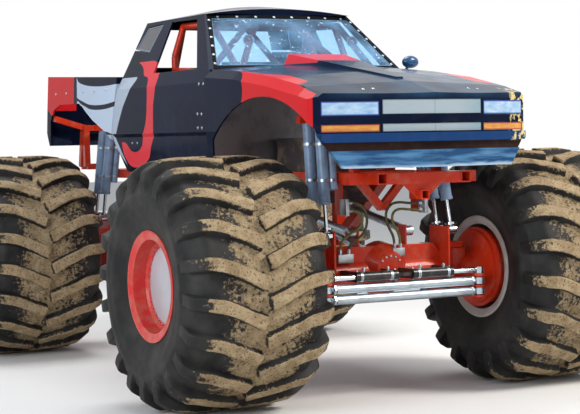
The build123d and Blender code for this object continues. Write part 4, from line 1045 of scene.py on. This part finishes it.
@dataclass(frozen=True)
class Wheel:
    """The cover of one wheel: a ring and a disc with their bolts, in distances out from its centre."""

    end: End
    side: Side
    ring: Pairs = ((0.356, 0.3001), (0.342, 0.291), (0.335, 0.281), (0.334, 0.262), (0.334, 0.254))
    disc: Pairs = ((0.336, 0.259), (0.339, 0.257), (0.342, 0.24), (0.345, 0.12), (0.345, POLE))
    # Rows of bolts: circle's radius, how many, distance out, head's radius, head's height
    rows: tuple[tuple[float, int, float, float, float], ...] = (
        (0.2705, 30, 0.3335, 0.008, 0.01),
        (0.247, 36, 0.34, 0.005, 0.005),
    )

    def build(self) -> None:
        """Makes the wheel's cover and bolts."""
        corner = f"{self.end.word}_{self.side.letter}"
        centre = wheel_centre(self.end, self.side)
        axis = (self.side.value, 0, 0)
        surface = Surface()
        surface.turn(self.ring, centre, axis, 96, 2).turn(self.disc, centre, axis, 96, 1)
        for radius, count, out, head, height in self.rows:
            t = around(count)
            x = np.full(count, out * self.side.value)
            places = centre + np.stack([x, radius * np.cos(t), radius * np.sin(t)], -1)
            surface.bolts(places, axis, head, height)
        surface.build(f"wheel_cover_{corner}", ("steel", "hub_silver", "wheel_grey"), "hub_silver",
                      f"wheel_{corner}")


# The running gear


@dataclass(frozen=True)
class RunningGear:
    """The small parts of one axle: hoses and their blocks, shock bands, rod ends, and the rams' fittings."""

    end: End
    # Hose routes ahead of the axle, as X and Z, with each one's length
    routes: tuple[tuple[str, float, Pairs], ...] = (
        ("inner_r", 0.461, ((-0.3, 1.28), (-0.245, 1.281), (-0.192, 1.25), (-0.187, 1.192), (-0.227, 1.147),
                            (-0.285, 1.124), (-0.339, 1.092), (-0.369, 1.04), (-0.369, 0.985))),
        ("outer_r", 0.508, ((-0.3, 1.335), (-0.234, 1.336), (-0.165, 1.29), (-0.146, 1.192), (-0.184, 1.112),
                            (-0.252, 1.074), (-0.3, 1.034), (-0.301, 0.985))),
        ("inner_l", 0.506, ((0.3, 1.268), (0.24, 1.268), (0.176, 1.272), (0.112, 1.28), (0.06, 1.262),
                            (0.045, 1.21), (0.066, 1.16), (0.1, 1.112), (0.112, 1.056), (0.112, 1.01))),
        ("outer_l", 0.588, ((0.3, 1.312), (0.238, 1.312), (0.172, 1.317), (0.106, 1.326), (0.044, 1.316),
                            (0.002, 1.27), (-0.002, 1.208), (0.022, 1.15), (0.054, 1.098), (0.064, 1.05),
                            (0.064, 1.01))),
    )
    hose_out: float = 2.022
    hose_diameter: float = 0.018
    sleeve: Pairs = ((-0.002, 0.0115), (0.01, 0.0115), (0.011, 0.0135), (0.026, 0.0135), (0.028, 0.0105),
                     (0.034, 0.0098))
    # A shock's lower and upper end, half the distance in Y of a pair, and its reservoir's place inboard
    shock_foot: Point = (0.5, 1.99, 1.12)
    shock_top: Point = (0.465, 1.86, 1.88)
    shock_spread: float = 0.085
    reservoir_in: float = 0.07
    rod_out: float = 2.245
    rod_heights: tuple[float, float] = (0.77, 0.699)
    ram_height: float = 0.844
    cover_out: float = 2.075
    cover_height: float = 0.868
    cover_radius: float = 0.092

    def hoses(self) -> None:
        """Makes the four pressure hoses, each from a block on the frame to one on the axle."""
        y = self.hose_out * self.end.value
        for name, length, route in self.routes:
            data = bpy.data.curves.new(f"pressure_hose_{self.end.word}_{name}", "CURVE")
            data.dimensions = "3D"
            data.bevel_depth = self.hose_diameter / 2
            data.bevel_resolution = 4
            data.resolution_u = 10
            data.materials.append(MATERIALS["hose_lime" if name.startswith("inner") else "hose"])
            spline = data.splines.new("NURBS")
            spline.points.add(len(route) - 1)
            for point, (x, z) in zip(spline.points, route):
                point.co = (x, y, z, 1.0)
            spline.order_u = 3
            spline.use_endpoint_u = True
            piece = placed(data.name, data)
            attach(piece, "chassis")
            x, z = route[0]

    def blocks(self) -> None:
        """Makes the fluid blocks that the hoses end in, with their fittings."""
        surface = Surface()
        s = self.end.value
        for x in (-1, 1):
            surface.block((0.302 * x, 2.046 * s, 1.244), (0.33 * x, 1.96 * s, 1.36), 0.003)
        surface.block((-0.395, 2.046 * s, 0.925), (-0.275, 1.992 * s, 0.985), 0.003)
        surface.block((0.04, 2.046 * s, 0.95), (0.136, 1.992 * s, 1.01), 0.003)
        y = self.hose_out * s
        for _, _, route in self.routes:
            (x0, z0), (x1, z1) = route[0], route[-1]
            surface.turn(self.sleeve, (x0, y, z0), (-math.copysign(1.0, x0), 0, 0), 6, 1)
            surface.turn(self.sleeve, (x1, y, z1), (0, 0, 1), 6, 1)
        surface.build(f"fluid_blocks_{self.end.word}", ("aluminium", "steel"), "aluminium")

    def shock_bands(self) -> None:
        """Makes the bands that hold each reservoir to its shock, and the rings at the body's ends."""
        surface = Surface()
        band = ((-0.009, 0.0), (-0.009, 0.0022), (0.009, 0.0022), (0.009, 0.0))
        clip = ((-0.016, POLE), (-0.016, 0.006), (0.016, 0.006), (0.016, POLE))
        gland = ((-0.022, 0.0392), (-0.02, 0.0425), (-0.002, 0.0425), (0.001, 0.038), (0.001, 0.02))
        cap = ((-0.004, POLE), (-0.004, 0.024), (0.0, 0.0305), (0.012, 0.0318), (0.014, 0.0312))
        for x in (-1, 1):
            inboard = np.array([-self.reservoir_in * x, 0, 0])
            for spread in (-self.shock_spread, self.shock_spread):
                sign, shift = np.array([x, self.end.value, 1]), np.array([0, spread, 0])
                foot, top = (np.array(v) * sign + shift for v in (self.shock_foot, self.shock_top))
                down = (foot - top) / np.linalg.norm(foot - top)
                for along in (0.15, 0.4):
                    centre = top + down * along
                    for offset, radius in ((0 * inboard, 0.0392), (inboard, 0.0312)):
                        surface.turn([(a, radius + r) for a, r in band], centre + offset, down, 40)
                    surface.turn(clip, centre + inboard * 0.56 + np.array([0, 0.028, 0]), (0, 1, 0), 12)
                surface.turn(gland, top + down * 0.56, down, 40, 1)
                surface.turn(cap, top + down * 0.06 + inboard, down, 32, 1)
        surface.build(f"shock_bands_{self.end.word}", ("steel", "shock_silver"), "steel")

    def rod_ends(self) -> None:
        """Makes the lock nuts and threads of both tie rods."""
        surface = Surface()
        y = self.rod_out * self.end.value
        nut = ((0.0, 0.021), (0.001, 0.03), (0.004, 0.033), (0.02, 0.033), (0.023, 0.03), (0.024, 0.021))
        thread = [(a, 0.0205 + 0.001 * (i % 2)) for i, a in enumerate(np.linspace(0.0, 0.028, 43))]
        for height in self.rod_heights:
            for x in (-1, 1):
                surface.turn(nut, (0.536 * x, y, height), (x, 0, 0), 6)
                surface.turn(thread, (0.56 * x, y, height), (x, 0, 0), 24)
        word = self.end.word
        surface.build(f"rod_ends_{word}", ["steel"], "steel", f"{word}_tie_rod_pair", 30)

    def ram_fittings(self) -> None:
        """Makes the rams' end caps, ports and clamp bolts, and the axle cover's bolts."""
        surface = Surface()
        ring = ((0.0, 0.035), (0.001, 0.0362), (0.007, 0.0362), (0.008, 0.035))
        port = ((-0.004, 0.009), (0.006, 0.009), (0.007, 0.0115), (0.02, 0.0115), (0.021, 0.007),
                (0.026, 0.006), (0.026, POLE))
        s = self.end.value
        y, z = self.rod_out * s, self.ram_height
        for x in (-1, 1):
            for out in (0.1, 0.112, 0.335, 0.346):
                surface.turn(ring, (out * x, y, z), (x, 0, 0), 40)
            for out in (0.128, 0.318):
                surface.turn(port, (out * x, y, z + 0.035), (0, 0, 1), 6)
            for out in (0.07, 0.367):
                for up in (1, -1):
                    surface.bolts((out * x, y - 0.004 * s, z + 0.034 * up), (0, 0, up), 0.007, 0.007)
        angles = np.radians([42, 66, 90, 114, 138, 222, 246, 270, 294, 318])
        x, z = self.cover_radius * np.cos(angles), self.cover_height + self.cover_radius * np.sin(angles)
        surface.bolts(np.stack([x, 0 * x + self.cover_out * s, z], -1), (0, s, 0), 0.0085, 0.009)
        surface.build(f"ram_fittings_{self.end.word}", ["steel"], "steel", sharp=30)

    def build(self) -> None:
        """Makes one axle's small parts. Only the front axle shows hoses."""
        if self.end is End.FRONT:
            self.hoses()
            self.blocks()
        self.shock_bands()
        self.rod_ends()
        self.ram_fittings()


# The body and cab


@dataclass(frozen=True)
class Bodywork:
    """What the photograph shows on the mouldings: panes, screws, rivets, catches and the mirror."""

    quarter_window: Pairs = ((0.312, 2.474), (0.244, 2.688), (0.528, 2.677), (0.618, 2.511))
    # Rivets on each flank of the cab and the clip, as pairs of Y and Z
    rivets: Pairs = (
        (-0.857, 2.184), (-0.93, 2.182), (-0.846, 1.968), (-0.914, 1.966), (-0.846, 1.866), (-0.914, 1.866),
        (0.414, 1.767), (0.315, 1.766),
    )
    # Where the rays that find the mouldings start: beside, ahead of and above them
    beside: float = 1.3
    ahead: float = -1.6
    above: float = 2.7
    mirror_centre: Point = (0.949, -0.862, 2.35)
    mirror_half: Point = (0.07, 0.042, 0.049)

    def panes(self) -> None:
        """Makes the two quarter windows, each dark with a blue reveal."""
        surface = Surface()
        corners = np.array(self.quarter_window)
        middle = corners.mean(0)
        for s in (-1, 1):
            rings = []
            for share, deep in ((1.0, 0.003), (0.9, 0.003), (0.87, 0.005)):
                y, z = (middle + (corners - middle) * share).T
                # The greenhouse's half width at each height
                out = 0.812 - 0.2 * (z - 2.285) / 0.437
                rings.append(np.stack([s * (out - deep), y, z], -1))
            sheet = np.array(rings)
            surface.grid(sheet[:2, ::s], wrap_v=True)
            surface.grid(sheet[1:, ::s], wrap_v=True, slot=1)
            surface.fan(sheet[-1], slot=1, flip=s > 0)
        surface.build("quarter_panes", ("mirror_blue", "dark_glass"), "glazing")

    def fasteners(self) -> None:
        """Makes the windscreen's screws and the mouldings' rivets and catches, each on its surface."""
        screen = [(s * (0.757 - 0.4 * (z - 2.3)), z) for s in (-1, 1) for z in np.linspace(2.33, 2.67, 6)]
        screen += [(x, 2.698) for x in np.linspace(-0.53, 0.53, 8)]
        surface = Surface()
        nodes = ("windscreen", "cab_shell")
        surface.domes([landing(nodes, (x, self.ahead, z), (0, 1, 0)) for x, z in screen], 0.011, 0.006)
        heads = []
        for s in (-1, 1):
            for y, z in self.rivets:
                heads.append(landing(("cab_shell", "front_clip"), (self.beside * s, y, z), (-s, 0, 0)))
            for x in (0.372, 0.448):
                heads.append(landing(("front_clip",), (x * s, -2.5, self.above), (0, 0, -1)))
            for y in (0.9, 1.15, 1.4, 1.8, 2.05):
                heads.append(landing(("bed_shell",), (self.beside * s, y, 2.2), (-s, 0, 0)))
        surface.domes(heads, 0.0105, 0.005)
        surface.build("body_fasteners", ["steel"], "steel")

    def mirror(self) -> None:
        """Makes the oval door mirror in place of its CAD node."""
        surface = Surface()
        centre, half = np.array(self.mirror_centre), np.array(self.mirror_half)
        t = around(48)[:, None]
        u = np.array([-90, -80, -66, -50, -34, -18, -4, 10, 24, 36, 46, 54]) * math.pi / 180
        ring = np.cos(u)[None, :] ** 0.75
        shell = np.stack([ring * np.cos(t), np.sin(u)[None, :] + 0 * t, -ring * np.sin(t)], -1)
        points = centre + half * shell
        lip = centre + half * np.stack([0.93 * shell[:, -1, 0], shell[:, -1, 1], 0.93 * shell[:, -1, 2]], -1)
        deep = lip - [0, 0.006, 0]
        surface.grid(points, wrap_u=True)
        surface.grid(np.stack([points[:, -1], lip], 1), wrap_u=True)
        surface.grid(np.stack([lip, deep], 1), wrap_u=True)
        surface.fan(deep, slot=1)
        path = ((0.827, -0.86, 2.216), (0.842, -0.86, 2.226), (0.868, -0.86, 2.25), (0.9, -0.86, 2.282),
                (0.93, -0.861, 2.315))
        surface.grid(tube(path, (0.016, 0.011, 0.01, 0.01, 0.013), 16), wrap_v=True)
        piece = surface.build("oval_mirror", ("mirror_blue", "chrome"), "mirror_blue")
        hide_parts("door_mirror")

    def build(self) -> None:
        """Makes the body's pieces."""
        self.panes()
        self.fasteners()
        self.mirror()


@dataclass(frozen=True)
class Cockpit:
    """The driver's seat with its harness, the discs on the cage, and the gauges over the dash."""

    # The seat shell's outline as Y and Z, and its half width with the share by which each section shrinks
    shell_outline: Pairs = (
        (-0.328, 1.548), (-0.328, 1.69), (-0.3, 1.712), (-0.062, 1.69), (-0.006, 2.36), (0.006, 2.388),
        (0.02, 2.386), (0.024, 2.3), (0.018, 1.548),
    )
    shell_sections: Pairs = (
        (-0.236, 0.03), (-0.236, 0.0), (-0.23, 0.0), (0.23, 0.0), (0.236, 0.0), (0.236, 0.03),
    )
    recline: float = math.radians(85.3)
    buckle: Point = (0, -0.176, 1.762)
    strap_width: float = 0.048
    strap_thick: float = 0.003
    gauge_outs: Point = (-0.052, 0.018, 0.088)
    gauge_height: float = 2.395
    # Where a look from the front right goes that meets the cage at a disc
    disc_goals: tuple[Point, ...] = ((-0.008, 0.0, 2.56), (0.703, -0.4, 2.528))

    def cushion(self, name: str, centre: Point, half: tuple[float, float], tilt: float, thick: float,
                bolster: float) -> bpy.types.Object:
        """Makes one padded cushion: a crowned closed form with sewn channels and raised bolsters.

        With a, b from -1 to 1 across and along, the top stands thick (1 - a^6)^(1/2) (1 - b^6)^(1/2) over
        its base, less a groove at each seam, plus the bolster where |a| is over 0.7. The sides pull in by a
        few percent between the corners.

        Args:
            name: The piece's name.
            centre: The middle of its base.
            half: Half its width and half its length.
            tilt: The angle of its length over the floor, in radians.
            thick: How far its middle stands over its base.
            bolster: How far the side bolsters stand over that.

        Returns:
            The cushion.
        """
        a = np.sin(np.linspace(-math.pi / 2, math.pi / 2, 61))[:, None]
        b = a.T
        crown = np.sqrt(np.maximum(1 - a ** 6, 0) * np.maximum(1 - b ** 6, 0))
        seams = sum(np.exp(-((a - s) / 0.022) ** 2) for s in (-0.64, -0.32, 0.0, 0.32, 0.64))
        tucks = sum(np.exp(-((b - s) / 0.03) ** 2) for s in (-0.33, 0.33)) * (np.abs(a) < 0.64)
        side = bolster * smoothstep(0.62, 0.82, np.abs(a)) * crown
        rise = thick * crown * (1 - 0.16 * seams - 0.1 * tucks) + side
        wide = half[0] * (1 - 0.035 * (1 - b ** 2)) * a
        long = half[1] * (1 - 0.025 * (1 - a ** 2)) * b
        across = np.array([1.0, 0, 0])
        along = np.array([0, math.cos(tilt), math.sin(tilt)])
        up = np.array([0, -math.sin(tilt), math.cos(tilt)])
        base = np.array(centre) + wide[..., None] * across + long[..., None] * along
        surface = Surface()
        surface.grid(base + rise[..., None] * up)
        surface.grid((base - (0.006 * crown)[..., None] * up)[:, ::-1])
        piece = surface.build(name, ["seat_cloth"], "seat_cloth", sharp=60)
        return piece

    def strap(self, line: Sequence[Point]) -> Array:
        """A flat strap along a line: a closed section of eight points, lying across the line and level.

        Args:
            line: The line's points.

        Returns:
            Array of rows by 8 by 3, to be wrapped in its second parameter.
        """
        t = np.linspace(0, len(line) - 1, 6 * len(line))
        smooth = np.stack([np.interp(t, range(len(line)), v) for v in np.array(line).T], -1)
        for _ in range(3):
            smooth[1:-1] = (smooth[:-2] + 2 * smooth[1:-1] + smooth[2:]) / 4
        along = np.gradient(smooth, axis=0)
        along /= np.linalg.norm(along, axis=1, keepdims=True)
        face = np.cross(along, [1.0, 0, 0])
        flat = np.linalg.norm(face, axis=1, keepdims=True) < 0.6
        face = np.where(flat, np.cross(along, np.cross([0.0, -0.4, 0.9], along)), face)
        face /= np.linalg.norm(face, axis=1, keepdims=True)
        across = np.cross(face, along)
        w, h = self.strap_width / 2, self.strap_thick / 2
        section = np.array([(-w, 0), (-w * 0.96, h), (0, h * 1.1), (w * 0.96, h), (w, 0), (w * 0.96, -h),
                            (0, -h * 1.1), (-w * 0.96, -h)])[None, :, :, None]
        rows = smooth[:, None] + section[:, :, 0] * across[:, None] + section[:, :, 1] * face[:, None]
        return rows[:, ::-1]

    def seat(self) -> None:
        """Makes the seat's shell, cushions and harness in place of its CAD node."""
        outline = np.array(self.shell_outline)
        middle = outline.mean(0)
        rows = []
        for out, share in self.shell_sections:
            y, z = (outline + (middle - outline) * share).T
            rows.append(np.stack([np.full(len(y), out), y, z], -1))
        rows = np.array(rows)[:, ::-1]
        shell = Surface().grid(rows, wrap_v=True).fan(rows[0]).fan(rows[-1], flip=True)
        belts = Surface()
        pieces = [
            shell.build("seat_shell", ["black_plastic"], "seat_cloth", sharp=25),
            self.cushion("seat_squab", (0, -0.192, 1.706), (0.218, 0.12), -0.08, 0.04, 0.018),
            self.cushion("seat_back", (0, -0.042, 2.03), (0.214, 0.24), self.recline, 0.03, 0.016),
            self.cushion("seat_head", (0, -0.014, 2.318), (0.115, 0.052), self.recline, 0.026, 0.0),
        ]
        for s in (-1, 1):
            over = ((0.075 * s, 0.016, 2.25), (0.075 * s, -0.004, 2.262), (0.074 * s, -0.052, 2.25),
                    (0.07 * s, -0.076, 2.16), (0.062 * s, -0.09, 2.0), (0.045 * s, -0.112, 1.88),
                    (0.018 * s, -0.15, 1.79), (0.006 * s, -0.176, 1.764))
            lap = ((0.226 * s, -0.06, 1.735), (0.205 * s, -0.085, 1.772), (0.14 * s, -0.125, 1.775),
                   (0.06 * s, -0.16, 1.768), (0.01 * s, -0.176, 1.764))
            for line in (over, lap):
                belts.grid(self.strap(line), wrap_v=True)
        clasp = ((0, 0.026), (0.01, 0.026), (0.013, 0.02), (0.013, POLE))
        belts.turn(clasp, self.buckle, (0, -0.3, 0.95), 24, 1)
        pieces.append(belts.build("seat_harness", ("belt", "steel"), "seat_cloth", sharp=50))
        for piece in pieces:
            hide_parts("seat")

    def gauges(self) -> None:
        """Makes three gauges on a bracket over the dash, facing the driver."""
        surface = Surface()
        pod = ((-0.034, POLE), (-0.034, 0.012), (-0.026, 0.026), (-0.01, 0.031), (0.02, 0.032))
        bezel = ((0.02, 0.032), (0.026, 0.034), (0.032, 0.033), (0.032, 0.028), (0.027, 0.027))
        dial = ((0.027, 0.027), (0.027, POLE))
        needle = ((0.0, 0.0022), (0.02, 0.0008), (0.021, POLE))
        z = self.gauge_height
        for x in self.gauge_outs:
            for slot, profile in enumerate((pod, bezel, dial)):
                surface.turn(profile, (x, -0.735, z), (0, 1, 0), 32, slot)
            surface.turn(needle, (x, -0.7065, z), (0.5, 0, 0.8), 6, 3)
            surface.block((x - 0.005, -0.742, 2.226), (x + 0.005, -0.728, 2.368), 0.002)
        surface.block((-0.085, -0.746, 2.352), (0.121, -0.724, 2.362), 0.002)
        surface.block((-0.075, -0.765, 2.2302), (0.111, -0.705, 2.24), 0.002)
        surface.build("gauge_cluster", ("black_plastic", "chrome", "dial", "belt"), "black_plastic")

    def cage_discs(self) -> None:
        """Makes the two ringed discs on the cage, where a look from the front right meets its tubes."""
        surface = Surface()
        ring = ((-0.01, POLE), (-0.01, 0.036), (0.0, 0.042), (0.004, 0.043), (0.007, 0.04), (0.004, 0.034))
        pad = ((0.004, 0.034), (0.011, 0.029), (0.013, 0.02), (0.014, POLE))
        eye = np.array(Studio.eye)
        for goal in self.disc_goals:
            toward = goal - eye
            spot = landing(("roll_cage",), eye, toward)
            if spot:
                surface.turn(ring, spot[0], -toward, 32).turn(pad, spot[0], -toward, 32, 1)
        if surface.count:
            surface.build("cage_discs", ("hub_silver", "chassis_red"), "chassis_red")

    def build(self) -> None:
        """Makes the cockpit's pieces."""
        self.seat()
        self.cage_discs()
        self.gauges()


def main() -> None:
    """Builds the scene's classes in order."""
    logging.basicConfig(level=logging.INFO, format="%(name)s: %(message)s")
    Studio().build()
    finishes()
    dress()
    for end in End:
        RunningGear(end).build()
        for side in Side:
            Tyre(end, side).build()
            Wheel(end, side).build()
    Bodywork().build()
    Cockpit().build()


if __name__ == "__main__":
    main()
